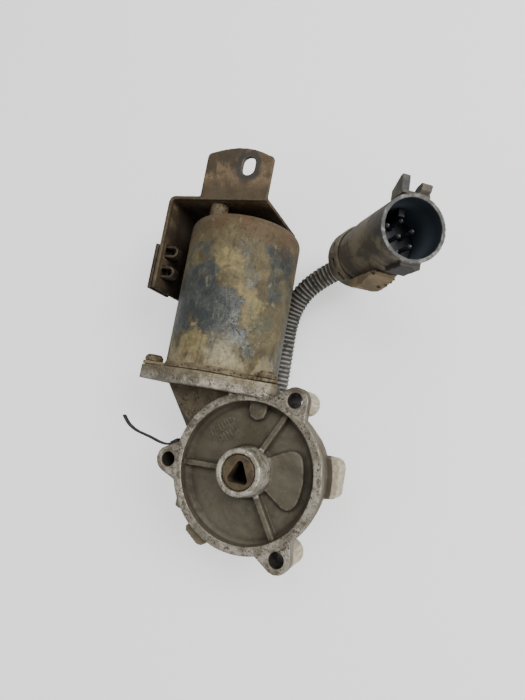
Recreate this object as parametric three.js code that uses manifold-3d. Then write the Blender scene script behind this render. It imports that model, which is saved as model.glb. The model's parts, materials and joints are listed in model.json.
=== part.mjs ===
// Electric shift gearmotor: a worm gear case with a round mounting face, a motor can standing on its
// side flange, a stamped bracket over the can, and a corrugated conduit ending in a round connector.
// Frame: the output shaft turns about Z, +Z leaves the mounting face, +Y runs along the motor can.
// All levels below are measured from the mounting face; the whole group is lifted by REST_DEPTH so that
// the flat back of the rear cover lies on z = 0.
import * as THREE from "three";
import { mergeVertices } from "three/addons/utils/BufferGeometryUtils.js";
import Module from "manifold-3d";

const wasm = await Module();
wasm.setup();

// ---- driving dimensions, mm ----
const GAP = 0.3; // clearance between neighbouring pieces
const REST_DEPTH = 56; // mounting face to the rest plane

const RIM_OUTER = 36;
const CAVITY_RADIUS = 32;
const CAVITY_FLOOR = -6.5;
const CASE_WALL_OUTER = 34.5;
const CASE_BACK = -38;
const EAR_CIRCLE = 39.5;
const EAR_ANGLES = [183, 63, -57];
const EAR_RADIUS = 6.2;
const EAR_HOLE = 3.5;
const EAR_BOSS_BACK = -24;
const HUB_FRONT = 7.4;
const HUB_RADIUS = 10.5;
const SLEEVE_RADIUS = 7.85;
const SLEEVE_FRONT = 6.6;
const SOCKET_DEPTH = 15;

const GEAR_MODULE = 1;
const WHEEL_TEETH = 48;
const WORM_PITCH_RADIUS = 6;
const WHEEL_THICKNESS = 8;
const WORM_Z = -21;
const WORM_LENGTH = 25;
const THREAD_HAND = -1; // right-hand thread
const TOOTH_PLAY = 0.26; // taken off each flank of thread and tooth

const CAN_RADIUS = 29;
const CAN_WALL = 1.8;
const CAN_END = 120.5;
const CAN_SHOULDER = 6;
const FLANGE_BOTTOM = 34;
const FLANGE_TOP = 41.2;
const FLANGE_RADIUS = CAN_RADIUS + 2.5;
const FLANGE_SCREW = [CAN_RADIUS + 2.2, 16]; // out from the can axis, forward of it
const SHAFT_RADIUS = 4;

const SHEET = 2; // bracket sheet
const BRACKET_RIGHT = -15.8;
const BRACKET_FRONT = -5;
const BRACKET_REACH = 13; // from the can's end to the outside of the bracket
const BRACKET_LENGTH = 51.5;
const BRACKET_ROOM = 13.5; // from the can's side to the outside of the bracket
const TAB_LEFT = -54;
const TAB_LENGTH = 24.5;
const POST_RADIUS = 4.8;

const CONDUIT_RADIUS = 5.8;
const SHELL_RADIUS = 14;
const SHELL_LENGTH = 57;
const CONNECTOR_MOUTH = new THREE.Vector3(60.4, 109.2, 20);
const CONNECTOR_AXIS = new THREE.Vector3(0.547, -0.051, 0.836).normalize();
const PIN_RADIUS = 1;

// ---- values that follow from them ----
const WHEEL_PITCH = (WHEEL_TEETH * GEAR_MODULE) / 2;
const CAN_X = -(WHEEL_PITCH + WORM_PITCH_RADIUS);
const CAN_Z = WORM_Z;
const WHEEL_TIP = WHEEL_PITCH + GEAR_MODULE;
const CHAMBER_RADIUS = WHEEL_TIP + 1.2;
const CHAMBER_TOP = CAVITY_FLOOR - 2.8;
const COVER_FRONT = CASE_BACK - 1.2;
const COVER_BACK = -REST_DEPTH;
const CAN_INNER = CAN_RADIUS - CAN_WALL;
const BRACKET_LEFT = CAN_X - CAN_RADIUS - BRACKET_ROOM;
const BRACKET_TOP = CAN_END + BRACKET_REACH;
const BRACKET_LOW = BRACKET_TOP - BRACKET_LENGTH;
const TAB_TOP = BRACKET_TOP + TAB_LENGTH;
const TAB_SLOT = [-29.2, TAB_TOP - 7.8];
const CAN_BASE = FLANGE_TOP + GAP;
const CONDUIT_Z = -49;
const CONDUIT_X = -8.2;
const OUTLET_TOP = 34.8;
const OUTLET_RADIUS = 6.9;
const COVER_ANGLES = [75, 160, 215, 275];
const COVER_SCREW_CIRCLE = 32.3;
const COVER_RIM = 30;
const WORM_BORE = WORM_PITCH_RADIUS + GEAR_MODULE + 0.7;
const FRONT_BEARING_RADIUS = 9.5;
const FRONT_BEARING = [27, 35];
const BOSS_BACK = -14;
const BUSHING_RADIUS = 9.3;
const BUSHING_FRONT = 3.6;
const SHOULDER_RADIUS = 9.7;
const SHOULDER_FRONT = BOSS_BACK - 1.6;
const SHAFT_END = COVER_BACK + 3.4;
const MAGNET_THICKNESS = 6.1;
const AIR_GAP = 0.8;
const CORE_RADIUS = CAN_INNER - GAP - MAGNET_THICKNESS - AIR_GAP;
const CORE_SPAN = [66, CAN_END - 24.5];
const MAGNET_SPAN = [60, CAN_END - 19.5];
const BRUSH_OUTER = CAN_INNER - 10.7;
const POSTS = [[CAN_X - (CAN_RADIUS - 13.8), CAN_Z + 8.2], [CAN_X + 5, CAN_Z - (CAN_RADIUS - 7)]];
const CLIP_LOOPS = [BRACKET_TOP - 30.1, BRACKET_TOP - 41.5];
const CLIP_Z = [-15, -9];
const CONNECTOR_REAR = CONNECTOR_MOUTH.clone().addScaledVector(CONNECTOR_AXIS, -SHELL_LENGTH);
const CONDUIT_END = CONNECTOR_REAR.clone().addScaledVector(CONNECTOR_AXIS, -3 - GAP);
const TIE_Z = -12;
const TIE_OUTER = 7.4;

// ---- finishes ----
const finish = (color, roughness, metalness) =>
  new THREE.MeshStandardMaterial({ color, roughness, metalness });
const castMetal = finish(0x938b80, 0.62, 0.55);
const coverMetal = finish(0x5d5a52, 0.7, 0.35);
const rustySteel = finish(0x6b4a35, 0.78, 0.45);
const dustySteel = finish(0x7d705a, 0.68, 0.4);
const darkSteel = finish(0x3f352c, 0.72, 0.45);
const brightSteel = finish(0xa7a49c, 0.38, 0.9);
const bronze = finish(0x9b7340, 0.45, 0.85);
const wheelPlastic = finish(0xd8cfb6, 0.5, 0);
const copper = finish(0xa65a32, 0.4, 0.9);
const laminate = finish(0x70706f, 0.5, 0.8);
const ferrite = finish(0x39393b, 0.7, 0.2);
const boardGreen = finish(0x3c5a3a, 0.55, 0);
const carbon = finish(0x2c2b2a, 0.75, 0.1);
const blackPlastic = finish(0x4a463e, 0.6, 0);
const innerPlastic = finish(0x1f242b, 0.5, 0);
const blackRubber = finish(0x2a2a2a, 0.8, 0);
const conduitPlastic = finish(0x46474a, 0.6, 0);

// ---- building blocks ----
function solid(geometry) {
  const bare = geometry.index ? geometry.toNonIndexed() : geometry.clone();
  const plain = new THREE.BufferGeometry();
  plain.setAttribute("position", bare.getAttribute("position"));
  const merged = mergeVertices(plain, 1e-4);
  const at = merged.attributes.position;
  const corners = new Uint32Array(merged.index.array);
  const [a, b, c] = [new THREE.Vector3(), new THREE.Vector3(), new THREE.Vector3()];
  let volume = 0;
  for (let i = 0; i < corners.length; i += 3) {
    a.fromBufferAttribute(at, corners[i]);
    b.fromBufferAttribute(at, corners[i + 1]);
    c.fromBufferAttribute(at, corners[i + 2]);
    volume += a.dot(b.cross(c));
  }
  // a shape wound the other way round is turned so that its faces point out
  if (volume < 0)
    for (let i = 0; i < corners.length; i += 3) [corners[i], corners[i + 1]] = [corners[i + 1], corners[i]];
  return new wasm.Manifold(new wasm.Mesh({ numProp: 3, vertProperties: at.array, triVerts: corners }));
}

const union = (...parts) => parts.reduce((a, b) => a.add(b));
const cut = (body, ...tools) => tools.reduce((a, b) => a.subtract(b), body);

function geometryOf(body) {
  const mesh = body.getMesh();
  const geometry = new THREE.BufferGeometry();
  geometry.setAttribute("position", new THREE.BufferAttribute(new Float32Array(mesh.vertProperties), 3));
  geometry.setIndex(new THREE.BufferAttribute(new Uint32Array(mesh.triVerts), 1));
  const flat = geometry.toNonIndexed();
  flat.computeVertexNormals();
  return flat;
}

const object = new THREE.Group();
object.name = "shift_gearmotor";
object.position.z = REST_DEPTH;

function piece(name, body, material) {
  const mesh = new THREE.Mesh(geometryOf(body), material);
  mesh.name = name;
  object.add(mesh);
}

// A turned solid about Z: profile points are [radius, z], listed so that the solid lies to their left.
function turned(profile, x = 0, y = 0, segments = 48) {
  const points = profile.map(([r, z]) => new THREE.Vector2(r, z));
  return new THREE.LatheGeometry(points, segments).rotateX(Math.PI / 2).translate(x, y, 0);
}

function discProfile(r, z0, z1) {
  return [[0, z0], [r, z0], [r, z1], [0, z1]];
}

function ringProfile(inner, outer, z0, z1) {
  return [[inner, z0], [outer, z0], [outer, z1], [inner, z1], [inner, z0]];
}

const roundZ = (r, z0, z1, x = 0, y = 0, segments = 24) =>
  solid(turned(discProfile(r, z0, z1), x, y, segments));
const ringZ = (inner, outer, z0, z1, x = 0, y = 0, segments = 28) =>
  solid(turned(ringProfile(inner, outer, z0, z1), x, y, segments));

// The same about an axis along Y standing at (x, z); profile points are [radius, y].
function turnedY(profile, x = CAN_X, z = CAN_Z, segments = 32) {
  const points = profile.map(([r, y]) => new THREE.Vector2(r, y));
  return solid(new THREE.LatheGeometry(points, segments).translate(x, 0, z));
}
const roundY = (r, y0, y1, x = CAN_X, z = CAN_Z, segments = 24) =>
  turnedY(discProfile(r, y0, y1), x, z, segments);
const ringY = (inner, outer, y0, y1, x = CAN_X, z = CAN_Z, segments = 24) =>
  turnedY(ringProfile(inner, outer, y0, y1), x, z, segments);

function block(x0, x1, y0, y1, z0, z1) {
  const g = new THREE.BoxGeometry(x1 - x0, y1 - y0, z1 - z0);
  return solid(g.translate((x0 + x1) / 2, (y0 + y1) / 2, (z0 + z1) / 2));
}

function outline(points) {
  const shape = new THREE.Shape();
  points.forEach(([x, y], i) => (i ? shape.lineTo(x, y) : shape.moveTo(x, y)));
  return shape;
}

// A plate cut from an XY outline between two levels.
function plateZ(shape, z0, z1, curveSegments = 10) {
  const g = new THREE.ExtrudeGeometry(shape, { depth: z1 - z0, bevelEnabled: false, curveSegments });
  return solid(g.translate(0, 0, z0));
}

// A plate lying across the can axis: outline points are [out along X, forward along Z] from the axis.
function plateY(shape, y0, y1, x = CAN_X, z = CAN_Z, curveSegments = 10) {
  const g = new THREE.ExtrudeGeometry(shape, { depth: y1 - y0, bevelEnabled: false, curveSegments });
  return solid(g.rotateX(Math.PI / 2).translate(x, y1, z));
}

const polar = (r, degrees) => [
  r * Math.cos((degrees * Math.PI) / 180),
  r * Math.sin((degrees * Math.PI) / 180),
];

function circlePoints(r, count, x = 0, y = 0, from = 0, to = 360, closed = false) {
  const points = [];
  const steps = closed ? count - 1 : count;
  for (let i = 0; i < count; i++) {
    const [px, py] = polar(r, from + ((to - from) * i) / steps);
    points.push([x + px, y + py]);
  }
  return points;
}

// Convex outline round a set of points.
function hull(points) {
  const sorted = [...points].sort((a, b) => a[0] - b[0] || a[1] - b[1]);
  const turn = (o, a, b) => (a[0] - o[0]) * (b[1] - o[1]) - (a[1] - o[1]) * (b[0] - o[0]);
  const half = (list) => {
    const chain = [];
    for (const p of list) {
      while (chain.length > 1 && turn(chain[chain.length - 2], chain[chain.length - 1], p) <= 1e-9) chain.pop();
      chain.push(p);
    }
    chain.pop();
    return chain;
  };
  return [...half(sorted), ...half(sorted.reverse())];
}

// ---- gear case ----
function gearCase() {
  let body = union(
    solid(turned([[0, CASE_BACK], [COVER_RIM, CASE_BACK], [COVER_RIM + 1.6, -20], [CASE_WALL_OUTER, -17.5],
      [CASE_WALL_OUTER, -3], [0, -3]], 0, 0, 48)),
    solid(turned([[0, -8], [RIM_OUTER - 1.4, -8], [RIM_OUTER, -6.5], [RIM_OUTER, 0], [0, 0]], 0, 0, 48)),
  );
  for (const angle of EAR_ANGLES) {
    const [ex, ey] = polar(EAR_CIRCLE, angle);
    const [ix, iy] = polar(27, angle);
    const web = hull([...circlePoints(EAR_RADIUS, 16, ex, ey), ...circlePoints(11.5, 14, ix, iy)]);
    body = union(body, plateZ(outline(web), -6.5, 0), roundZ(EAR_RADIUS - 0.2, EAR_BOSS_BACK, -1, ex, ey, 18));
  }
  // worm tunnel, its spreading web under the flange, and the motor flange
  const web = turnedY([[0, 13], [12, 13], [26, FLANGE_BOTTOM + 0.5], [0, FLANGE_BOTTOM + 0.5]]);
  body = union(
    body,
    roundY(10.5, -25.5, FLANGE_BOTTOM + 0.5),
    web.intersect(block(-70, 0, 0, 40, CASE_BACK, -7)),
    block(-22, 3, 28, FLANGE_BOTTOM + 0.5, -18, -6.8),
    flange(),
  );
  // lugs on the side wall
  const sideLug = new THREE.Shape();
  sideLug.moveTo(30, -6.5);
  sideLug.lineTo(38.4, -4.8);
  sideLug.quadraticCurveTo(40.6, -4.4, 40.6, -2);
  sideLug.lineTo(40.6, 8);
  sideLug.quadraticCurveTo(40.6, 13.2, 35.4, 13.2);
  sideLug.lineTo(30, 13.2);
  const lowLug = outline([[-21, -26], [-24.8, -30], [-24.6, -32], [-17.6, -36.8], [-15.4, -36.8], [-11, -33]]);
  body = union(body, plateZ(sideLug, -25, -13, 5), plateZ(lowLug, -8, -2.5));
  for (const angle of COVER_ANGLES) {
    const [x, y] = polar(COVER_SCREW_CIRCLE, angle);
    body = union(body, roundZ(3.7, CASE_BACK, CASE_BACK + 12, x, y, 12));
  }
  // front cavity, then the hub, ribs and pads standing on its floor
  body = cut(body, solid(turned(discProfile(CAVITY_RADIUS, CAVITY_FLOOR, 1), 0, 0, 48)));
  const low = CAVITY_FLOOR - 0.5;
  const inside = solid(turned(discProfile(CAVITY_RADIUS + 0.3, low, HUB_FRONT), 0, 0, 48));
  const hub = solid(turned([[0, low], [12.4, low], [11.6, -4.5], [11, 1], [HUB_RADIUS, HUB_FRONT - 0.5],
    [HUB_RADIUS - 0.5, HUB_FRONT], [0, HUB_FRONT]], 0, 0, 48));
  body = union(body, hub);
  for (const angle of EAR_ANGLES) {
    const rib = new THREE.BoxGeometry(26, 2.6, 4.2).translate(21, 0, low + 2.1);
    rib.rotateZ((angle * Math.PI) / 180);
    body = union(body, solid(rib).intersect(inside));
  }
  const kidney = new THREE.Shape();
  kidney.moveTo(8, 7.5);
  kidney.lineTo(15.5, 11.5);
  kidney.bezierCurveTo(19, 14, 24, 13.5, 25, 9.5);
  kidney.bezierCurveTo(26.8, 4, 27, -2, 26, -6.5);
  kidney.bezierCurveTo(25, -12, 22, -14, 18.5, -12.4);
  kidney.lineTo(8, -5.5);
  const tab = outline([[-4.3, 33], [-4.3, 27.5], [-3, 24.6], [0, 23.4], [3, 24.6], [4.3, 27.5], [4.3, 33]]);
  body = union(
    body,
    plateZ(kidney, low, CAVITY_FLOOR + 2.4, 6).intersect(inside),
    plateZ(tab, low, CAVITY_FLOOR + 3).intersect(inside),
    solid(turned([[CAVITY_RADIUS - 2.5, low], [CAVITY_RADIUS + 0.3, low], [CAVITY_RADIUS + 0.3, -4],
      [CAVITY_RADIUS - 1.2, -5.2], [CAVITY_RADIUS - 2.5, low]], 0, 0, 48)),
  );
  // wheel chamber and the wider space behind it
  body = cut(
    body,
    solid(turned(discProfile(CHAMBER_RADIUS, CASE_BACK - 1, CHAMBER_TOP), 0, 0, 48)),
    roundY(WORM_BORE, -22.5, FLANGE_TOP + 1, CAN_X, CAN_Z, 32),
    roundY(FRONT_BEARING_RADIUS + GAP, 26.5, FLANGE_TOP + 1, CAN_X, CAN_Z, 32),
    roundY(22, FLANGE_TOP - 3, FLANGE_TOP + 1, CAN_X, CAN_Z, 28),
    roundY(2.9, -27, -20, CAN_X, CAN_Z, 16),
  );
  // boss inside the chamber that backs the thrust washer
  const boss = solid(turned(discProfile(12, BOSS_BACK, CHAMBER_TOP + 0.5), 0, 0, 30));
  body = union(body, boss);
  body = cut(
    body,
    roundZ(SLEEVE_RADIUS + GAP, -20, HUB_FRONT + 1, 0, 0, 30),
    roundZ(BUSHING_RADIUS + GAP, BOSS_BACK - 1, BUSHING_FRONT + GAP, 0, 0, 30),
    roundZ(4.2, -30, -19, 36, 6.8, 20),
    ringZ(EAR_RADIUS - 0.2, TIE_OUTER + GAP, TIE_Z - 1.6, TIE_Z + 1.6, ...polar(EAR_CIRCLE, EAR_ANGLES[0]), 28),
  );
  for (const angle of EAR_ANGLES) {
    const [x, y] = polar(EAR_CIRCLE, angle);
    body = cut(body, roundZ(EAR_HOLE, EAR_BOSS_BACK - 2, 1, x, y, 18));
  }
  for (const angle of COVER_ANGLES) {
    const [x, y] = polar(COVER_SCREW_CIRCLE, angle);
    body = cut(body, roundZ(2, CASE_BACK - 1, CASE_BACK + 10, x, y, 10));
  }
  for (const side of [-1, 1]) {
    const [x, z] = flangeScrewAt(side);
    body = cut(body, roundY(2.3, FLANGE_BOTTOM - 1, FLANGE_TOP + 1, x, z, 16));
  }
  return body;
}

function flangeScrewAt(side) {
  return [CAN_X + side * FLANGE_SCREW[0], CAN_Z + FLANGE_SCREW[1]];
}

function flange() {
  const [sx, sz] = FLANGE_SCREW;
  const round = [
    ...circlePoints(FLANGE_RADIUS, 40),
    ...circlePoints(5.7, 16, sx, sz),
    ...circlePoints(5.7, 16, -sx, sz),
  ];
  const plate = plateY(outline(hull(round)), FLANGE_BOTTOM, FLANGE_TOP);
  return cut(
    plate,
    roundY(OUTLET_RADIUS + 0.6, FLANGE_BOTTOM - 1, FLANGE_TOP + 1, CONDUIT_X, CONDUIT_Z, 24),
    block(-14, 1, FLANGE_BOTTOM - 1, FLANGE_BOTTOM + 1, -50, CASE_BACK),
  );
}

piece("gear_case", gearCase(), castMetal);

// ---- rear cover, gasket and screws ----
function rearCover() {
  const low = COVER_FRONT - 2.8;
  const shell = solid(turned([[0, COVER_BACK], [22.5, COVER_BACK], [26, COVER_BACK + 3], [28.2, low],
    [COVER_RIM, low], [COVER_RIM, COVER_FRONT], [0, COVER_FRONT]], 0, 0, 36));
  const outlet = roundY(OUTLET_RADIUS, 22, OUTLET_TOP, CONDUIT_X, CONDUIT_Z, 28);
  let body = union(shell, outlet);
  for (const angle of COVER_ANGLES) {
    const [x, y] = polar(COVER_SCREW_CIRCLE, angle);
    body = union(body, roundZ(3.7, low, COVER_FRONT, x, y, 12));
  }
  body = cut(
    body,
    solid(turned([[0, COVER_BACK + 2.2], [21.6, COVER_BACK + 2.2], [24.4, COVER_BACK + 4.4],
      [CHAMBER_RADIUS, COVER_FRONT - 1], [CHAMBER_RADIUS, COVER_FRONT + 1], [0, COVER_FRONT + 1]], 0, 0, 36)),
    roundY(5.2, 20, OUTLET_TOP + 1, CONDUIT_X, CONDUIT_Z, 24),
  );
  body = union(body, ringZ(9.1, 11.5, COVER_BACK + 2, COVER_BACK + 8, 0, 0, 32));
  for (const angle of COVER_ANGLES) {
    const [x, y] = polar(COVER_SCREW_CIRCLE, angle);
    body = cut(body, roundZ(2.1, COVER_FRONT - 4, COVER_FRONT + 1, x, y, 10));
  }
  return body;
}
piece("rear_cover", rearCover(), coverMetal);
const gasketLevel = [COVER_FRONT + GAP, CASE_BACK - GAP];
piece("cover_gasket", ringZ(CHAMBER_RADIUS + 0.5, COVER_RIM - 0.3, ...gasketLevel, 0, 0, 36), blackRubber);

COVER_ANGLES.forEach((angle, i) => {
  const [x, y] = polar(COVER_SCREW_CIRCLE, angle);
  const under = COVER_FRONT - 2.8 - GAP;
  const screw = union(
    roundZ(3.5, under - 2.4, under, x, y, 14),
    roundZ(1.7, under - 0.5, CASE_BACK + 9, x, y, 8),
  );
  const slot = block(x - 4, x + 4, y - 0.4, y + 0.4, under - 3, under - 1.4);
  piece("cover_screw_" + (i + 1), cut(screw, slot), darkSteel);
});

// ---- output shaft and what turns with it ----
function socketShape() {
  const corners = [[0, 4.6], [-3.3, -3.2], [3.3, -3.2]];
  const rounds = [1.7, 1.5, 1.5];
  const points = corners.flatMap(([x, y], i) => circlePoints(rounds[i], 14, x, y - (i ? 0 : 1.2)));
  return outline(hull(points));
}
const sleeve = union(
  solid(turned([[0, SHAFT_END], [6, SHAFT_END], [6, -27.5],
    [SHOULDER_RADIUS, -27.5], [SHOULDER_RADIUS, SHOULDER_FRONT],
    [SLEEVE_RADIUS, SHOULDER_FRONT], [SLEEVE_RADIUS, SLEEVE_FRONT - 0.5], [SLEEVE_RADIUS - 0.5, SLEEVE_FRONT],
    [0, SLEEVE_FRONT]], 0, 0, 30)),
);
const socket = plateZ(socketShape(), SLEEVE_FRONT - SOCKET_DEPTH, SLEEVE_FRONT + 1);
piece("output_sleeve", cut(sleeve, socket), rustySteel);
const hubBore = SLEEVE_RADIUS + GAP;
piece("hub_bushing", ringZ(hubBore, BUSHING_RADIUS, BOSS_BACK + 0.2, BUSHING_FRONT, 0, 0, 30), bronze);
piece("thrust_washer", ringZ(hubBore, 11.5, SHOULDER_FRONT + GAP, BOSS_BACK - GAP, 0, 0, 30), brightSteel);
piece("rear_bushing", ringZ(6.3, 8.8, COVER_BACK + 2.5, COVER_BACK + 8.2), bronze);
piece("retaining_ring", ringZ(6.3, 9, -29.2, -27.8), brightSteel);

function wormWheel() {
  const root = WHEEL_PITCH - 1.25 * GEAR_MODULE;
  const step = (2 * Math.PI) / WHEEL_TEETH;
  const half = (Math.PI * GEAR_MODULE) / 4 - TOOTH_PLAY;
  const slope = Math.tan((20 * Math.PI) / 180);
  const flank = [
    [root, half + 1.25 * slope],
    [WHEEL_PITCH, half],
    [WHEEL_TIP, half - slope],
  ];
  const twist = GEAR_MODULE / (2 * WORM_PITCH_RADIUS) / WHEEL_PITCH;
  const levels = [WORM_Z - WHEEL_THICKNESS / 2, WORM_Z + WHEEL_THICKNESS / 2];
  const rings = levels.map((z) => {
    const ring = [];
    for (let i = 0; i < WHEEL_TEETH; i++) {
      const mid = Math.PI + (i + 0.5) * step - THREAD_HAND * twist * (z - WORM_Z);
      for (const [r, h] of flank) ring.push([r * Math.cos(mid - h / r), r * Math.sin(mid - h / r), z]);
      for (const [r, h] of [...flank].reverse())
        ring.push([r * Math.cos(mid + h / r), r * Math.sin(mid + h / r), z]);
    }
    return ring;
  });
  const count = rings[0].length;
  const triangles = [];
  for (let l = 0; l + 1 < rings.length; l++)
    for (let i = 0; i < count; i++) {
      const j = (i + 1) % count;
      triangles.push(rings[l][i], rings[l][j], rings[l + 1][j], rings[l][i], rings[l + 1][j], rings[l + 1][i]);
    }
  const caps = [[rings[0], -1], [rings[rings.length - 1], 1]];
  for (const [ring, up] of caps) {
    const flat = ring.map(([x, y]) => new THREE.Vector2(x, y));
    for (const [a, b, c] of THREE.ShapeUtils.triangulateShape(flat, [])) {
      const ahead = THREE.ShapeUtils.area([flat[a], flat[b], flat[c]]) * up > 0;
      triangles.push(...(ahead ? [ring[a], ring[b], ring[c]] : [ring[a], ring[c], ring[b]]));
    }
  }
  const g = new THREE.BufferGeometry();
  g.setAttribute("position", new THREE.Float32BufferAttribute(triangles.flat(), 3));
  const low = levels[0];
  const high = levels[1];
  return cut(
    solid(g),
    roundZ(SHOULDER_RADIUS + GAP, low - 1, high + 1, 0, 0, 30),
    ringZ(13.5, 20.5, high - 2.2, high + 1, 0, 0, 30),
    ringZ(13.5, 20.5, low - 1, low + 2.2, 0, 0, 30),
  );
}
piece("worm_wheel", wormWheel(), wheelPlastic);

const rotor = union(
  ringZ(6.3, 10, -34.5, -30.2),
  ringZ(9, 22, -34.5, -32.5, 0, 0, 30),
  block(11, 21, -2, 2, -36.8, -34),
  block(-21, -11, -2, 2, -36.8, -34),
);
piece("encoder_rotor", rotor, innerPlastic);
const board = cut(
  ringZ(8, CHAMBER_RADIUS - 0.9, -41.6, -40, 0, 0, 36),
  block(-13, -3, 20, 27, -43, -39),
);
piece("encoder_board", board, boardGreen);
[11.5, 15.5, 19.5].forEach((r, i) => {
  piece("contact_track_" + (i + 1), ringZ(r, r + 2.6, -39.7, -39.2), bronze);
});

// ---- armature: worm shaft, laminated core, windings, commutator ----
function wormThread() {
  const lead = Math.PI * GEAR_MODULE;
  const outer = WORM_PITCH_RADIUS + GEAR_MODULE;
  const root = WORM_PITCH_RADIUS - 1.25 * GEAR_MODULE;
  const slope = Math.tan((20 * Math.PI) / 180);
  const half = lead / 4 - TOOTH_PLAY;
  const marks = [
    [-half - 1.25 * slope, root],
    [-half + slope, outer],
    [half - slope, outer],
    [half + 1.25 * slope, root],
  ];
  const around = 18;
  const turns = Math.ceil(WORM_LENGTH / lead) + 5;
  const rows = [];
  for (let k = -Math.ceil(turns / 2); k <= Math.ceil(turns / 2); k++)
    for (const [shift, r] of marks) rows.push([k * lead + shift, r]);
  const at = (row, i) => {
    const angle = (2 * Math.PI * i) / around;
    const [y, r] = rows[row];
    return [r * Math.cos(angle), y + (THREAD_HAND * lead * i) / around, r * Math.sin(angle)];
  };
  const perTurn = marks.length;
  const point = (row, i) => (i < around ? at(row, i) : at(row + THREAD_HAND * perTurn, i - around));
  const triangles = [];
  const first = perTurn;
  const last = rows.length - 1 - perTurn;
  for (let row = first; row < last; row++)
    for (let i = 0; i < around; i++) {
      const a = point(row, i);
      const b = point(row, i + 1);
      const c = point(row + 1, i + 1);
      const d = point(row + 1, i);
      triangles.push(a, c, b, a, d, c);
    }
  // The ends close with a fan whose rim runs up one turn of the helix and back along its step.
  for (const [row, up] of [[first, -1], [last, 1]]) {
    const rim = [];
    for (let i = 0; i <= around; i++) rim.push(point(row, i));
    if (THREAD_HAND > 0) for (let s = perTurn - 1; s > 0; s--) rim.push(at(row + s, 0));
    else for (let s = perTurn - 1; s > 0; s--) rim.push(at(row - s, 0));
    const mid = [0, rim[0][1] + up * 2 * lead, 0];
    for (let i = 0; i < rim.length; i++) {
      const a = rim[i];
      const b = rim[(i + 1) % rim.length];
      triangles.push(...(up > 0 ? [mid, b, a] : [mid, a, b]));
    }
  }
  const g = new THREE.BufferGeometry();
  g.setAttribute("position", new THREE.Float32BufferAttribute(triangles.flat(), 3));
  return solid(g.translate(CAN_X, 0, CAN_Z)).intersect(roundY(outer + 1, -WORM_LENGTH / 2, WORM_LENGTH / 2));
}
const shaft = union(
  wormThread(),
  roundY(SHAFT_RADIUS, -21.5, CAN_END - 6, CAN_X, CAN_Z, 20),
);
piece("armature_shaft", shaft, brightSteel);
piece("front_bearing", ringY(SHAFT_RADIUS + GAP, FRONT_BEARING_RADIUS, ...FRONT_BEARING), brightSteel);
piece("rear_bushing_motor", ringY(SHAFT_RADIUS + GAP, 6.6, CAN_END - 8.5, CAN_END - CAN_WALL - 0.4), bronze);
piece("thrust_screw", cut(
  union(roundY(2.6, -25, -21.9, CAN_X, CAN_Z, 16), roundY(5.4, -28.6, -25.5 - GAP, CAN_X, CAN_Z, 6),
    roundY(2.6, -26.2, -24.5, CAN_X, CAN_Z, 16)),
  block(CAN_X - 6, CAN_X + 6, -30, -27.4, CAN_Z - 0.5, CAN_Z + 0.5),
), darkSteel);

const slotCount = 10;
function slotTools(width, inner, outer, y0, y1) {
  const tools = [];
  for (let i = 0; i < slotCount; i++) {
    const g = new THREE.BoxGeometry(outer - inner, y1 - y0, width);
    g.translate((outer + inner) / 2, (y0 + y1) / 2, 0);
    tools.push(solid(g.rotateY((2 * Math.PI * i) / slotCount).translate(CAN_X, 0, CAN_Z)));
  }
  return tools;
}
const core = cut(
  ringY(SHAFT_RADIUS + GAP, CORE_RADIUS, ...CORE_SPAN, CAN_X, CAN_Z, 28),
  ...slotTools(3.6, 8.5, CORE_RADIUS + 1, CORE_SPAN[0] - 1, CORE_SPAN[1] + 1),
);
piece("armature_core", core, laminate);
const coil = CORE_RADIUS - 2; // outer radius of the wound wire
const [coreLow, coreTop] = CORE_SPAN;
const windings = union(
  turnedY([[9, coreLow - 7], [coil - 1, coreLow - 6], [coil + 0.5, coreLow - 3], [coil, coreLow - GAP],
    [9, coreLow - GAP], [9, coreLow - 7]], CAN_X, CAN_Z, 32),
  turnedY([[9, coreTop + GAP], [coil, coreTop + GAP], [coil + 0.5, coreTop + 3], [coil - 2, coreTop + 6.5],
    [9, coreTop + 7], [9, coreTop + GAP]], CAN_X, CAN_Z, 32),
  ...slotTools(3, 9.2, coil, CORE_SPAN[0] - 1, CORE_SPAN[1] + 1),
);
piece("windings", windings, copper);
const commutator = cut(
  ringY(SHAFT_RADIUS + GAP, 8, 47.5, 57.5, CAN_X, CAN_Z, 28),
  ...slotTools(0.6, 7.1, 9, 46, 56),
);
piece("commutator", commutator, copper);

// ---- motor can and its fixed inside ----
function motorCan() {
  const lip = CAN_BASE + 1.6;
  const knee = (r, from, to) => circlePoints(r, 4, 0, 0, from, to, true);
  const outside = knee(CAN_SHOULDER, 0, 90).map(([x, y]) => [
    CAN_RADIUS - CAN_SHOULDER + x,
    CAN_END - CAN_SHOULDER + y,
  ]);
  const small = CAN_SHOULDER - CAN_WALL;
  const inside = knee(small, 90, 0).map(([x, y]) => [CAN_INNER - small + x, CAN_END - CAN_SHOULDER + y]);
  const profile = [
    [CAN_INNER, CAN_BASE],
    [CAN_RADIUS + 0.5, CAN_BASE],
    [CAN_RADIUS + 0.5, lip],
    [CAN_RADIUS, lip + 3],
    ...outside,
    [0, CAN_END],
    [0, CAN_END - CAN_WALL],
    [7, CAN_END - CAN_WALL],
    [7, CAN_END - 9],
    [9, CAN_END - 9],
    [9, CAN_END - CAN_WALL],
    ...inside,
    [CAN_INNER, CAN_BASE],
  ];
  let body = turnedY(profile, CAN_X, CAN_Z, 40);
  for (const side of [-1, 1]) {
    const [sx, sz] = FLANGE_SCREW;
    const root = circlePoints(8, 16, side * (CAN_RADIUS - 7), 11);
    const ear = hull([...circlePoints(5.4, 20, side * sx, sz), ...root]);
    body = union(body, cut(plateY(outline(ear), CAN_BASE, lip), roundY(CAN_INNER + 0.5, 40, 50)));
    const [x, z] = flangeScrewAt(side);
    body = cut(body, roundY(2.3, CAN_BASE - 1, lip + 1, x, z, 16));
  }
  return body;
}
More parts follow.
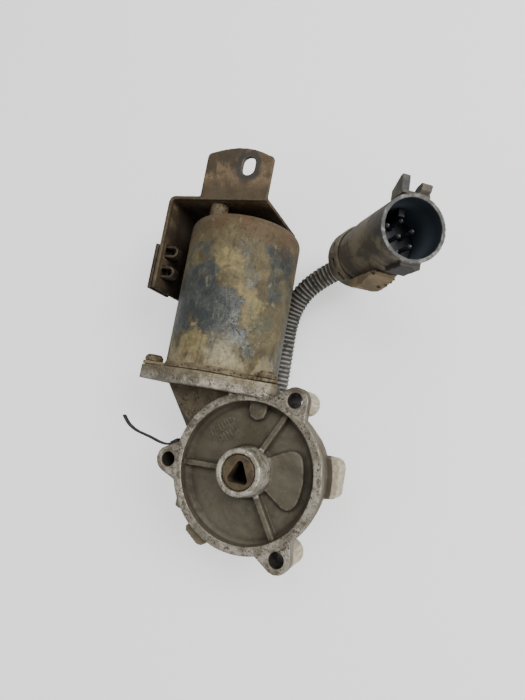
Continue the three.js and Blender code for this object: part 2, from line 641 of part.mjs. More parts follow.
piece("motor_can", motorCan(), dustySteel);
[0, 1].forEach((i) => {
  const arc = 122;
  const middle = 90 + 180 * i;
  const inner = circlePoints(CORE_RADIUS + AIR_GAP, 16, 0, 0, middle - arc / 2, middle + arc / 2, true);
  const outer = circlePoints(CAN_INNER - GAP, 16, 0, 0, middle + arc / 2, middle - arc / 2, true);
  piece("magnet_" + (i + 1), plateY(outline([...inner, ...outer]), ...MAGNET_SPAN), ferrite);
});

const plateLevel = [49.5, 51.5];
const brushPlate = cut(
  union(
    ringY(9.4, CAN_INNER - GAP, ...plateLevel, CAN_X, CAN_Z, 28),
    block(CAN_X + 9.4, CAN_X + BRUSH_OUTER + 7.5, 51, 56.8, CAN_Z - 4.6, CAN_Z + 4.6),
    block(CAN_X - BRUSH_OUTER - 7.5, CAN_X - 9.4, 51, 56.8, CAN_Z - 4.6, CAN_Z + 4.6),
  ),
  block(CAN_X + 8, CAN_X + BRUSH_OUTER + 6, 51.8, 55.9, CAN_Z - 3.3, CAN_Z + 3.3),
  block(CAN_X - BRUSH_OUTER - 6, CAN_X - 8, 51.8, 55.9, CAN_Z - 3.3, CAN_Z + 3.3),
);
piece("brush_plate", brushPlate, innerPlastic);
[1, -1].forEach((side, i) => {
  const span = (near, far) => (side > 0 ? [CAN_X + near, CAN_X + far] : [CAN_X - far, CAN_X - near]);
  piece("brush_" + (i + 1), block(...span(8.3, BRUSH_OUTER), 52.1, 55.6, CAN_Z - 3, CAN_Z + 3), carbon);
  const bends = [];
  for (let k = 0; k <= 8; k++) {
    const reach = BRUSH_OUTER + 0.4 + k * 0.66;
    bends.push(new THREE.Vector3(CAN_X + side * reach, 53.85, CAN_Z + (k % 2 ? 2.2 : -2.2)));
  }
  const path = new THREE.CatmullRomCurve3(bends, false, "catmullrom", 0.3);
  const wire = new THREE.ExtrudeGeometry(outline(circlePoints(0.3, 4)), {
    steps: 24,
    extrudePath: path,
    bevelEnabled: false,
  });
  piece("brush_spring_" + (i + 1), solid(wire), brightSteel);
});

[-1, 1].forEach((side, i) => {
  const [x, z] = flangeScrewAt(side);
  const seat = CAN_BASE + 1.6 + GAP;
  const screw = union(
    turnedY([[0, seat], [4.6, seat], [4.6, seat + 1.8], [3.4, seat + 3.2], [0, seat + 3.4]], x, z, 20),
    roundY(1.9, FLANGE_BOTTOM + 0.5, seat + 1, x, z, 14),
  );
  const slot = block(x - 0.6, x + 0.6, seat + 2.4, seat + 5, z - 3, z + 3);
  piece("flange_screw_" + (i + 1), cut(screw, slot), dustySteel);
});

// ---- bracket over the can ----
function bracket() {
  const topLow = BRACKET_TOP - SHEET;
  const back = -REST_DEPTH;
  const front = BRACKET_FRONT;
  const bend = 3;
  const tabMiddle = -36;
  const tab = new THREE.Shape();
  tab.moveTo(TAB_LEFT, topLow);
  tab.lineTo(BRACKET_RIGHT, topLow);
  tab.lineTo(BRACKET_RIGHT + 0.2, TAB_TOP - 5);
  tab.quadraticCurveTo(BRACKET_RIGHT, TAB_TOP - 2.6, BRACKET_RIGHT - 2.6, TAB_TOP - 2.2);
  tab.quadraticCurveTo(tabMiddle + 8, TAB_TOP + 2.8, tabMiddle - 2, TAB_TOP + 2.4);
  tab.quadraticCurveTo(tabMiddle - 9, TAB_TOP + 2, TAB_LEFT + 2, TAB_TOP);
  tab.quadraticCurveTo(TAB_LEFT, TAB_TOP - 0.4, TAB_LEFT, TAB_TOP - 2.4);
  const [sx, sy] = TAB_SLOT;
  const slotShape = hull([...circlePoints(3.5, 20, sx, sy - 1.5), ...circlePoints(3.5, 20, sx, sy + 1.5)]);
  const side = outline([
    [BRACKET_LEFT, BRACKET_LOW],
    [BRACKET_LEFT + SHEET, BRACKET_LOW],
    [BRACKET_LEFT + SHEET, topLow - bend + SHEET],
    [BRACKET_LEFT + bend, topLow],
    [BRACKET_RIGHT, topLow],
    [BRACKET_RIGHT, BRACKET_TOP],
    [BRACKET_LEFT + bend, BRACKET_TOP],
    [BRACKET_LEFT + 0.9, BRACKET_TOP - 0.9],
    [BRACKET_LEFT, BRACKET_TOP - bend],
  ]);
  let body = union(
    plateZ(side, back, front),
    plateZ(tab, front - SHEET, front),
    block(BRACKET_LEFT, BRACKET_RIGHT, BRACKET_LOW, BRACKET_TOP, back, back + SHEET),
  );
  body = cut(body, plateZ(outline(slotShape), front - SHEET - 1, front + 1));
  for (const [x, z] of POSTS) body = cut(body, roundY(2.8, topLow - 1, BRACKET_TOP + 1, x, z, 20));
  for (const y of CLIP_LOOPS)
    body = cut(body, block(BRACKET_LEFT - 1, BRACKET_LEFT + SHEET + 1, y - 3.6, y + 3.6, CLIP_Z[0], CLIP_Z[1]));
  return body;
}
piece("can_bracket", bracket(), darkSteel);
POSTS.forEach(([x, z], i) => {
  const post = union(
    roundY(POST_RADIUS, CAN_END + GAP, BRACKET_TOP - SHEET - GAP, x, z, 24),
    roundY(2.5, BRACKET_TOP - SHEET - 1, BRACKET_TOP + 5, x, z, 16),
  );
  piece("bracket_post_" + (i + 1), post, dustySteel);
  piece("bracket_nut_" + (i + 1), cut(
    roundY(5, BRACKET_TOP + GAP, BRACKET_TOP + 4, x, z, 6),
    roundY(2.8, BRACKET_TOP - 1, BRACKET_TOP + 6, x, z, 16),
  ), dustySteel);
});
function clipPlate() {
  const out = BRACKET_LEFT - GAP;
  let body = block(out - 1.8, out, BRACKET_LOW - 0.6, CLIP_LOOPS[0] + 2.6, -24, BRACKET_FRONT + 0.4);
  for (const y of CLIP_LOOPS) {
    const loop = [
      ...circlePoints(3.2, 12, BRACKET_LEFT + 6, y, -90, 90, true),
      [out - 0.5, y + 3.2],
      [out - 0.5, y + 1.9],
      ...circlePoints(1.9, 12, BRACKET_LEFT + 6, y, 90, -90, true),
      [out - 0.5, y - 1.9],
      [out - 0.5, y - 3.2],
    ];
    body = union(body, plateZ(outline(loop), CLIP_Z[0] + 0.4, CLIP_Z[1] - 0.4));
  }
  return body;
}
piece("clip_plate", clipPlate(), rustySteel);

// ---- harness ----
const grommet = cut(
  union(
    roundY(OUTLET_RADIUS, OUTLET_TOP + GAP, OUTLET_TOP + 2.6, CONDUIT_X, CONDUIT_Z, 28),
    roundY(5.2 - GAP, 27, OUTLET_TOP + 1, CONDUIT_X, CONDUIT_Z, 24),
  ),
  roundY(3.6, 26, OUTLET_TOP + 5, CONDUIT_X, CONDUIT_Z, 20),
);
piece("harness_grommet", grommet, blackRubber);

const conduitStart = OUTLET_TOP + 2.6 + GAP;
const conduitPath = new THREE.CatmullRomCurve3(
  [
    [CONDUIT_X, conduitStart, CONDUIT_Z],
    [CONDUIT_X, 50, CONDUIT_Z],
    [-8.4, 64, -49],
    [-8.3, 77, -48.8],
    [-6, 87.6, -47.4],
    [-0.4, 97.4, -45.4],
    [8, 104.8, -43.6],
    [16.4, 109.6, -41.2],
    [22.8, 112, -36.8],
    CONDUIT_END.toArray(),
  ].map(([x, y, z]) => new THREE.Vector3(x, y, z)),
  false,
  "centripetal",
);
const conduit = new THREE.ExtrudeGeometry(outline(circlePoints(CONDUIT_RADIUS, 10)), {
  steps: 20,
  extrudePath: conduitPath,
  bevelEnabled: false,
});
piece("conduit", solid(conduit), conduitPlastic);

// Connector pieces are built along +Z from the rear of the shell, then laid on the connector axis.
const upright = new THREE.Vector3(0, 0, 1);
const connectorTurn = new THREE.Quaternion().setFromUnitVectors(upright, CONNECTOR_AXIS);
function onConnector(body) {
  const g = geometryOf(body).applyQuaternion(connectorTurn);
  return solid(g.translate(CONNECTOR_REAR.x, CONNECTOR_REAR.y, CONNECTOR_REAR.z));
}
const shellInner = SHELL_RADIUS - 1.6;
const shellRear = SHELL_RADIUS - 0.9;
const shell = cut(
  union(
    solid(turned([[0, 0], [shellRear, 0], [shellRear, 12], [SHELL_RADIUS, 26], [SHELL_RADIUS, SHELL_LENGTH],
      [0, SHELL_LENGTH]], 0, 0, 36)),
    block(-3, 5.8, -SHELL_RADIUS - 1.9, -10, 42.5, SHELL_LENGTH - 0.8),
  ),
  roundZ(shellInner, 24, SHELL_LENGTH + 1, 0, 0, 36),
  roundZ(shellInner - 2, 3, 25, 0, 0, 30),
  roundZ(6.6, -1, 4, 0, 0, 28),
);
piece("connector_shell", onConnector(shell), blackPlastic);
const collar = cut(
  union(
    ringZ(shellRear + GAP, SHELL_RADIUS + 0.5, -3, 8.5, 0, 0, 32),
    ringZ(CONDUIT_RADIUS + GAP, SHELL_RADIUS + 0.5, -3, -1, 0, 0, 32),
  ),
  ...[115, 145, 175, 205, 235].map((angle) => {
    const g = new THREE.BoxGeometry(6, 4.6, 3).translate(SHELL_RADIUS, 0, 3.4).rotateZ((angle * Math.PI) / 180);
    return solid(g);
  }),
);
piece("connector_collar", onConnector(collar), blackPlastic);

const pinSpots = [[0, 0], ...circlePoints(6.6, 6, 0, 0, 30, 390)];
const pinBlock = cut(
  union(roundZ(shellInner - GAP, 25, 33, 0, 0, 30), block(-1.6, 1.6, 8.4, shellInner - GAP, 32, 44)),
  ...pinSpots.map(([x, y]) => roundZ(PIN_RADIUS + GAP, 24, 34, x, y, 8)),
);
piece("pin_block", onConnector(pinBlock), innerPlastic);
pinSpots.forEach(([x, y], i) => {
  const pin = turned([[0, 21], [PIN_RADIUS, 21], [PIN_RADIUS, 44.2], [0.4, 45], [0, 45]], x, y, 8);
  piece("pin_" + (i + 1), onConnector(solid(pin)), brightSteel);
});

// Clips carried outside the shell: outlines lie in the (Z, Y) plane of the connector, cut across X.
function acrossX(points, x0, x1) {
  const side = outline(points.map(([z, y]) => [-z, y]));
  const g = new THREE.ExtrudeGeometry(side, { depth: x1 - x0, bevelEnabled: false });
  return solid(g.rotateY(Math.PI / 2).translate(x0, 0, 0));
}
const saddle = SHELL_RADIUS + GAP + 0.1;
const latch = union(
  acrossX([[43, saddle], [54, saddle], [54, saddle + 1.4], [43, saddle + 1.4]], -5.8, 6.6),
  acrossX([[43, saddle + 1], [52.5, saddle + 1], [52.5, saddle + 5], [51.8, saddle + 8.8], [49.8, saddle + 8.8],
    [43, saddle + 4.2]], -5.8, -2.4),
  acrossX([[48, saddle + 1], [53.5, saddle + 1], [55.4, saddle + 2.4], [56, saddle + 4.6], [54.6, saddle + 5.6],
    [50.6, saddle + 4.8], [48, saddle + 2.6]], 1.4, 6),
);
piece("connector_latch", onConnector(latch), blackPlastic);
const mountClip = acrossX([[10, -saddle], [37, -saddle], [36, -saddle - 2.2], [31, -saddle - 3.2],
  [28, -saddle - 4.6], [20, -saddle - 5.2], [13, -saddle - 4.2], [9, -saddle - 2.6]], -6.4, 5.4);
piece("connector_clip", onConnector(mountClip), blackPlastic);

// ---- cable tie round the left ear boss, its long end left standing out ----
const [tieX, tieY] = polar(EAR_CIRCLE, EAR_ANGLES[0]);
const tiePath = new THREE.CatmullRomCurve3(
  [[-44.2, 4.4], [-48.6, 3.4], [-52.8, 3.8], [-57.4, 5], [-62.4, 6], [-67.4, 7.2], [-72, 9.6], [-75.8, 13.4]].map(
    ([x, y], i) => new THREE.Vector3(x, y, TIE_Z + 0.25 * i),
  ),
);
const tail = new THREE.ExtrudeGeometry(outline([[-1.25, -0.55], [1.25, -0.55], [1.25, 0.55], [-1.25, 0.55]]), {
  steps: 22,
  extrudePath: tiePath,
  bevelEnabled: false,
});
const tieHead = new THREE.BoxGeometry(4.4, 4.2, 4).rotateZ(0.6).translate(tieX - 3.4, tieY + 6.6, TIE_Z);
const tie = union(
  ringZ(EAR_RADIUS - 0.2 + GAP, TIE_OUTER, TIE_Z - 1.25, TIE_Z + 1.25, tieX, tieY, 28),
  cut(solid(tieHead), roundZ(EAR_RADIUS, TIE_Z - 4, TIE_Z + 4, tieX, tieY, 28)),
  solid(tail),
);
piece("cable_tie", tie, blackRubber);

export default object;
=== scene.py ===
"""Electric shift gearmotor: its looks, built as an add-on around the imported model."""

import json
import math

import bmesh
import bpy
import numpy as np
from bpy.props import FloatProperty, FloatVectorProperty, IntProperty, PointerProperty
from mathutils import Matrix, Vector, noise


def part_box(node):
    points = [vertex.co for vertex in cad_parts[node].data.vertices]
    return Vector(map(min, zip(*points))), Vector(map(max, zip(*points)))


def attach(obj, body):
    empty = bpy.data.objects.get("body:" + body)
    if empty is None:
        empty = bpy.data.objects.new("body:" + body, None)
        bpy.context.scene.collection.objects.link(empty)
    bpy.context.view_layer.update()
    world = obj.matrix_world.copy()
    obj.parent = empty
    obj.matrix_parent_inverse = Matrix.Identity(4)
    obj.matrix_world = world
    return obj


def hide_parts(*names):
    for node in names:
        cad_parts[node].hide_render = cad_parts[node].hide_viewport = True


bl_info = {
    "name": "Shift Gearmotor",
    "version": (1, 0, 0),
    "blender": (4, 5, 0),
    "location": "View3D > Sidebar > Gearmotor",
    "description": "Builds a used electric shift gearmotor with its conduit and connector",
    "category": "Add Mesh",
}

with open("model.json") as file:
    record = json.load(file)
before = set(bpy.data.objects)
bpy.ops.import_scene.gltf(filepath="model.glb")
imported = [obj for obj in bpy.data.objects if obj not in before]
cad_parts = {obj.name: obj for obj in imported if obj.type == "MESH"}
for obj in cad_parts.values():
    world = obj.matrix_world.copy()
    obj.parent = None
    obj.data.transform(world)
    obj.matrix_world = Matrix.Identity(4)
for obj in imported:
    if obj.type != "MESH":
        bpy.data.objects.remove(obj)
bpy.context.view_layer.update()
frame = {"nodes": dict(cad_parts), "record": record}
NODES = frame["nodes"]
BODY_OF = {node: body for body, members in frame["record"]["behaviour"]["bodies"].items() for node in members}
SLOT_OF = {part["node"]: part["material_slot"] for part in frame["record"]["subparts"]}
MM = 0.001

# Places read from the frame: the output shaft stands on Z at the origin, and the can lies along Y.
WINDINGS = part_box("windings")
CAN_AXIS = Vector(((WINDINGS[0].x + WINDINGS[1].x) / 2, 0, (WINDINGS[0].z + WINDINGS[1].z) / 2))
CAN_BASE, CAN_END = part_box("motor_can")[0].y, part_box("motor_can")[1].y
SLEEVE_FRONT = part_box("output_sleeve")[1].z

# The gear case's levels above the rest plane, and its circles about the output shaft.
RIM_LEVEL = 56 * MM
CAVITY_FLOOR = RIM_LEVEL - 6.5 * MM
CAVITY_RADIUS = 32 * MM
WALL_RADIUS = 34.5 * MM
RIM_RADIUS = 36 * MM
CHAMBER_RADIUS = 26.2 * MM
HUB_RADIUS = 10.5 * MM
HUB_BORE = 9.6 * MM
SLEEVE_RADIUS = 7.85 * MM
SLEEVE_SHOULDER = 9.7 * MM
EAR_CIRCLE = 39.5 * MM
EAR_ANGLES = (183, 63, -57)
EAR_CENTRES = [(EAR_CIRCLE * math.cos(math.radians(angle)), EAR_CIRCLE * math.sin(math.radians(angle)))
               for angle in EAR_ANGLES]

# The camera, and the soft lights as name, place, size and power.
CAMERA_PLACE = Vector((83.6, 27.8, 271.9)) * MM
CAMERA_RIGHT = Vector((0.923, 0.177, -0.341))
CAMERA_UP = Vector((-0.123, 0.977, 0.175))
CAMERA_LENS = 25.97
LIGHTS_AIM = Vector((0, 0.06, 0.03))
LIGHTS = (("key", (0.75, 0.35, 0.8), 0.5, 8.6), ("fill", (-0.6, -0.3, 0.8), 0.8, 1.8),
          ("top", (0.1, 0.6, 1.1), 0.6, 4.2), ("side", (0.8, -0.45, 0.16), 0.3, 2.6))
DAYLIGHT = 0.24
FLOOR_GLOW = 0.78

# The connector's mouth and axis, and the conduit's route from the grommet to the connector's neck.
CONNECTOR_MOUTH = Vector((60.4, 109.2, 76)) * MM
CONNECTOR_AXIS = Vector((0.547, -0.051, 0.836)).normalized()
SHELL_LENGTH = 57 * MM
SHELL_RADIUS = 14 * MM
SHELL_BORE = 12.4 * MM
CONNECTOR_REAR = CONNECTOR_MOUTH - CONNECTOR_AXIS * SHELL_LENGTH
CONDUIT_ROUTE = [Vector(point) * MM for point in (
    (-8.2, 37.7, 7), (-8.2, 50, 7), (-8.4, 64, 7), (-8.3, 77, 7.2), (-6, 87.6, 8.6),
    (-0.4, 97.4, 10.6), (8, 104.8, 12.4), (16.4, 109.6, 14.8), (22.8, 112, 19.2),
)] + [CONNECTOR_REAR - CONNECTOR_AXIS * 3.3 * MM]


def tone(red, green, blue):
    """A display colour from 0 to 255 as the linear colour that shaders take."""
    def linear(channel):
        channel /= 255
        return channel / 12.92 if channel <= 0.04045 else ((channel + 0.055) / 1.055) ** 2.4
    return (linear(red), linear(green), linear(blue), 1.0)


# ---------------------------------------------------------------- settings

class GearmotorSizes(bpy.types.PropertyGroup):
    """Sizes that change the finish of the pieces."""
    can_radius: FloatProperty(
        name="Can radius", description="Outer radius of the motor can", default=29 * MM, unit="LENGTH")
    can_shoulder: FloatProperty(
        name="Can shoulder", description="Fillet at the closed end of the can", default=6 * MM, unit="LENGTH")
    can_wall: FloatProperty(
        name="Can wall", description="Sheet thickness of the can", default=1.8 * MM, unit="LENGTH")
    ring_pitch: FloatProperty(
        name="Conduit pitch", description="Distance between two rings", default=2.4 * MM, unit="LENGTH")
    ring_depth: FloatProperty(
        name="Ring depth", description="Depth of the grooves in the conduit", default=0.6 * MM, unit="LENGTH")
    conduit_radius: FloatProperty(
        name="Conduit radius", description="Outer radius of the conduit", default=5.8 * MM, unit="LENGTH")
    round_steps: IntProperty(
        name="Round steps", description="Steps round a turned piece", default=144, min=24)


class GearmotorColours(bpy.types.PropertyGroup):
    """Colours of the main finishes."""
    alloy: FloatVectorProperty(
        name="Alloy", description="Weathered casting", size=4, subtype="COLOR", default=tone(128, 121, 106))
    dust: FloatVectorProperty(
        name="Dust", description="Dried mud and dust", size=4, subtype="COLOR", default=tone(150, 130, 92))
    steel: FloatVectorProperty(
        name="Steel", description="Bare painted steel under the dust", size=4, subtype="COLOR",
        default=tone(52, 59, 61))
    rust: FloatVectorProperty(
        name="Rust", description="Rust on sheet steel", size=4, subtype="COLOR", default=tone(104, 68, 40))
    plastic: FloatVectorProperty(
        name="Plastic", description="Connector plastic", size=4, subtype="COLOR", default=tone(66, 62, 56))
    floor: FloatVectorProperty(
        name="Floor", description="Studio floor", size=4, subtype="COLOR", default=(0.88, 0.88, 0.88, 1))


class GearmotorSettings(bpy.types.PropertyGroup):
    """Everything that a user may change before building."""
    sizes: PointerProperty(type=GearmotorSizes)
    colours: PointerProperty(type=GearmotorColours)


def settings():
    return bpy.context.scene.gearmotor


# ---------------------------------------------------------------- shader helpers

class Tree:
    """Short hand for laying out the nodes of one material or group."""

    def __init__(self, tree):
        self.tree = tree

    def feed(self, socket, value):
        if isinstance(value, bpy.types.NodeSocket):
            self.tree.links.new(value, socket)
        else:
            socket.default_value = value

    def node(self, kind, inputs, **choices):
        made = self.tree.nodes.new(kind)
        for key, value in choices.items():
            setattr(made, key, value)
        for key, value in inputs.items():
            self.feed(made.inputs[key], value)
        return made

    def noise(self, vector, scale, detail=4.0, roughness=0.55, distortion=0.0):
        return self.node("ShaderNodeTexNoise", {
            "Vector": vector, "Scale": scale, "Detail": detail, "Roughness": roughness,
            "Distortion": distortion}).outputs["Fac"]

    def ramp(self, value, low, high, start=0.0, end=1.0):
        return self.node("ShaderNodeMapRange", {
            "Value": value, "From Min": low, "From Max": high, "To Min": start, "To Max": end},
            interpolation_type="SMOOTHSTEP").outputs["Result"]

    def math(self, operation, first, second=0.0):
        return self.node("ShaderNodeMath", {0: first, 1: second}, operation=operation).outputs[0]

    def mix(self, mask, below, above):
        made = self.node("ShaderNodeMix", {0: mask, 6: below, 7: above}, data_type="RGBA")
        return made.outputs[2]

    def both(self, first, second):
        return self.math("MULTIPLY", first, second)

    def place(self, stretch=(1, 1, 1), turn=(0, 0, 0), shift=(0, 0, 0)):
        coordinates = self.node("ShaderNodeTexCoord", {}).outputs["Object"]
        return self.node("ShaderNodeMapping", {
            "Vector": coordinates, "Location": shift, "Rotation": turn, "Scale": stretch}).outputs["Vector"]

    def span(self, across, up):
        """How long the step is that goes this far across and up."""
        return self.math("SQRT", self.math("ADD", self.both(across, across), self.both(up, up)))

    def apart(self, x, y, centre):
        """How far two coordinates lie from a centre."""
        return self.span(self.math("SUBTRACT", x, centre[0]), self.math("SUBTRACT", y, centre[1]))

    def patches(self, vector, scale, low, high):
        return self.effect("patches", Vector=vector, Scale=scale, Low=low, High=high)

    def pits(self, vector, scale, amount):
        return self.effect("pits", Vector=vector, Scale=scale, Amount=amount)

    def attribute(self, name):
        return self.node("ShaderNodeAttribute", {}, attribute_name=name).outputs["Fac"]

    def parts(self, vector):
        return self.node("ShaderNodeSeparateXYZ", {"Vector": vector}).outputs

    def effect(self, name, **inputs):
        made = self.tree.nodes.new("ShaderNodeGroup")
        made.node_tree = EFFECTS[name]()
        for key, value in inputs.items():
            self.feed(made.inputs[key], value)
        return made.outputs[0]


def effect_group(name, inputs, output, build):
    """One shared effect as a node group with named inputs and one output."""
    tree = bpy.data.node_groups.get(name)
    if tree:
        return tree
    tree = bpy.data.node_groups.new(name, "ShaderNodeTree")
    tree.interface.new_socket(name="Vector", in_out="INPUT", socket_type="NodeSocketVector")
    for key, value in inputs.items():
        socket = tree.interface.new_socket(name=key, in_out="INPUT", socket_type="NodeSocketFloat")
        socket.default_value = value
    tree.interface.new_socket(name=output, in_out="OUTPUT", socket_type="NodeSocketFloat")
    lay = Tree(tree)
    given = tree.nodes.new("NodeGroupInput").outputs
    tree.links.new(build(lay, given), tree.nodes.new("NodeGroupOutput").inputs[output])
    return tree


def patches():
    """Soft-edged blotches, from large to fine."""
    def build(lay, given):
        cloud = lay.noise(given["Vector"], given["Scale"], detail=9.0, roughness=0.62, distortion=0.4)
        return lay.ramp(cloud, given["Low"], given["High"])
    return effect_group("Patches", {"Scale": 60.0, "Low": 0.45, "High": 0.55}, "Mask", build)


def pits():
    """Small dark pits and chips with ragged edges."""
    def build(lay, given):
        cloud = lay.node("ShaderNodeTexNoise", {
            "Vector": given["Vector"], "Scale": given["Scale"], "Detail": 3.0}).outputs["Color"]
        wobble = lay.node("ShaderNodeVectorMath", {0: cloud, "Scale": 0.0016}, operation="SCALE").outputs[0]
        ragged = lay.node("ShaderNodeVectorMath", {0: given["Vector"], 1: wobble}, operation="ADD")
        cell = lay.node("ShaderNodeTexVoronoi", {
            "Vector": ragged.outputs[0], "Scale": given["Scale"], "Randomness": 1.0}, feature="F1")
        spot = lay.ramp(cell.outputs["Distance"], 0.42, 0.16)
        where = lay.noise(given["Vector"], lay.both(given["Scale"], 0.22), detail=4.0)
        edge = lay.math("SUBTRACT", 1.0, given["Amount"])
        return lay.both(spot, lay.ramp(where, edge, lay.math("ADD", edge, 0.12)))
    return effect_group("Pits", {"Scale": 500.0, "Amount": 0.5}, "Mask", build)


def grain():
    """The uneven skin of a casting or of dried dust, as a height."""
    def build(lay, given):
        fine = lay.noise(given["Vector"], given["Scale"], detail=6.0, roughness=0.6)
        broad = lay.noise(given["Vector"], lay.both(given["Scale"], 0.22), detail=3.0)
        return lay.math("ADD", lay.both(fine, 0.5), lay.both(broad, 0.8))
    return effect_group("Grain", {"Scale": 900.0}, "Height", build)


def creases():
    """Thin wandering lines, as in peeling paint and streaked dirt."""
    def build(lay, given):
        cloud = lay.noise(given["Vector"], given["Scale"], detail=5.0, roughness=0.6, distortion=1.2)
        away = lay.math("ABSOLUTE", lay.math("SUBTRACT", cloud, 0.5))
        return lay.ramp(away, given["Width"], 0.0)
    return effect_group("Creases", {"Scale": 120.0, "Width": 0.03}, "Mask", build)


EFFECTS = {"patches": patches, "pits": pits, "grain": grain, "creases": creases}


def finish(name, build, metallic=0.0, bump=0.3, depth=0.4 * MM):
    """A material whose build function gives its colour, roughness, height and, if it varies, metalness."""
    name += "_finish"
    material = bpy.data.materials.get(name)
    if material:
        return material
    material = bpy.data.materials.new(name)
    material.use_nodes = True
    shader = material.node_tree.nodes["Principled BSDF"]
    lay = Tree(material.node_tree)
    made = build(lay)
    colour, roughness, height = made[:3]
    lay.feed(shader.inputs["Base Color"], colour)
    lay.feed(shader.inputs["Roughness"], roughness)
    lay.feed(shader.inputs["Metallic"], made[3] if len(made) > 3 else metallic)
    raised = lay.node("ShaderNodeBump", {"Height": height, "Strength": bump, "Distance": depth})
    lay.feed(shader.inputs["Normal"], raised.outputs["Normal"])
    return material


def edge_wear_and_hollow_shade(lay, colour, edge_colour, hollow_shade_colour, edges=0.55, hollow_shade_strength=0.7):
    """Lightens what stands out, as wear, and darkens what lies deep as painted shade."""
    edge = lay.attribute("edge")
    breakup = lay.ramp(lay.noise(lay.place(), 420.0, detail=5.0), 0.38, 0.62)
    out = lay.both(lay.ramp(edge, 0.1, 0.7), breakup)
    # Painted shade: darker where the surface lies deep in a corner or hollow.
    deep = lay.ramp(edge, -0.05, -0.6)
    colour = lay.mix(lay.both(deep, hollow_shade_strength), colour, hollow_shade_colour)
    return lay.mix(lay.both(out, edges), colour, edge_colour)


def blot(lay, where, centre, radius, ragged=7 * MM, scale=70.0):
    """A rough-edged patch about a point of the object, given in millimetres."""
    drift = lay.node("ShaderNodeVectorMath", {
        0: where, 1: tuple(Vector(centre) * MM)}, operation="DISTANCE").outputs["Value"]
    drift = lay.math("ADD", drift, lay.both(lay.math(
        "SUBTRACT", lay.noise(where, scale, detail=8.0, roughness=0.65), 0.5), 6 * ragged))
    return lay.ramp(drift, radius * MM, (radius - 4) * MM)


# ---------------------------------------------------------------- finishes

def cavity_colour(lay, where, x, y, radius):
    """Smooth olive floor of the case: darker to the upper left, brown with grease near its wall."""
    colour = lay.mix(lay.patches(where, 38.0, 0.38, 0.62), tone(80, 74, 59), tone(108, 102, 87))
    upper_left = lay.ramp(lay.math("SUBTRACT", x, y), 4 * MM, -34 * MM)
    colour = lay.mix(lay.both(upper_left, 0.5), colour, tone(70, 64, 46))
    colour = lay.mix(lay.both(lay.patches(where, 160.0, 0.55, 0.75), 0.5), colour, tone(62, 55, 40))
    grease = lay.both(lay.ramp(radius, CAVITY_RADIUS - 8 * MM, CAVITY_RADIUS - 0.5 * MM),
                      lay.patches(where, 52.0, 0.46, 0.62))
    colour = lay.mix(lay.both(grease, 0.7), colour, tone(58, 48, 40))
    specks = lay.pits(where, 900.0, 0.5)
    return lay.mix(lay.both(specks, 0.35), colour, tone(132, 126, 110))


def outside_colour(lay, where, shifted, x, y, z, radius):
    """Grey skin of the case, under mud on the parts that face the can and the left."""
    skin = lay.mix(lay.patches(where, 70.0, 0.4, 0.62), settings().colours.alloy[:], tone(104, 94, 74))
    skin = lay.mix(lay.both(lay.patches(where, 26.0, 0.52, 0.62), 0.7), skin, tone(74, 66, 52))
    mud = lay.mix(lay.patches(where, 120.0, 0.4, 0.62), tone(112, 100, 78), tone(148, 138, 114))
    mud = lay.mix(lay.pits(where, 480.0, 0.5), mud, tone(62, 52, 38))
    mud = lay.mix(lay.pits(shifted, 900.0, 0.55), mud, tone(176, 168, 146))
    # Darker further below the rim.
    mud = lay.mix(lay.ramp(z, RIM_LEVEL - 3 * MM, RIM_LEVEL - 10 * MM), mud, tone(62, 51, 33))
    towards_can = lay.both(lay.ramp(y, 20 * MM, 31 * MM),
                           lay.ramp(radius, RIM_RADIUS + 0.5 * MM, RIM_RADIUS + 2.5 * MM))
    towards_can = lay.both(towards_can, lay.ramp(x, 13 * MM, 6 * MM))
    left = lay.both(lay.ramp(x, -24 * MM, -30 * MM), lay.ramp(y, 4 * MM, 12 * MM))
    left = lay.both(left, lay.ramp(radius, RIM_RADIUS + 0.3 * MM, RIM_RADIUS + 1 * MM))
    return lay.mix(lay.math("MAXIMUM", towards_can, left), skin, mud)


def machined_and_lit_mask(lay, x, y, z, radius):
    """Where the case is bright: the block on its right side and two of the ears' bosses, partly pale bare
    metal and partly painted light from the right.
    """
    mask = lay.both(lay.ramp(x, 32.5 * MM, 35 * MM), lay.ramp(z, RIM_LEVEL - 2 * MM, RIM_LEVEL - 6 * MM))
    mask = lay.both(mask, lay.ramp(radius, 37.2 * MM, 38 * MM))
    for centre in EAR_CENTRES[1:]:
        boss = lay.ramp(lay.apart(x, y, centre), 7.6 * MM, 6.8 * MM)
        boss = lay.both(boss, lay.ramp(z, RIM_LEVEL - 4 * MM, RIM_LEVEL - 8 * MM))
        mask = lay.math("MAXIMUM", mask, boss)
    return mask


def machined_and_lit_colour(lay, where):
    """Bright bosses, combed along the shaft and lightly stained; their brightness is partly bare metal and
    partly painted light.
    """
    combed = lay.noise(lay.place(stretch=(0.5, 0.5, 0.04)), 1500.0, detail=3.0)
    colour = lay.mix(lay.ramp(combed, 0.35, 0.62), tone(216, 205, 182), tone(184, 171, 145))
    return lay.mix(lay.both(lay.patches(where, 90.0, 0.5, 0.75), 0.3), colour, tone(136, 120, 94))


def rim_colour(lay, where, rim_pits):
    """Mounting face: light grey, corroded in patches and pitted."""
    colour = lay.mix(lay.patches(where, 130.0, 0.42, 0.58), tone(178, 171, 156), tone(132, 125, 110))
    colour = lay.mix(lay.both(lay.patches(where, 420.0, 0.5, 0.62), 0.8), colour, tone(88, 80, 68))
    return lay.mix(lay.both(rim_pits, 0.9), colour, tone(44, 38, 30))


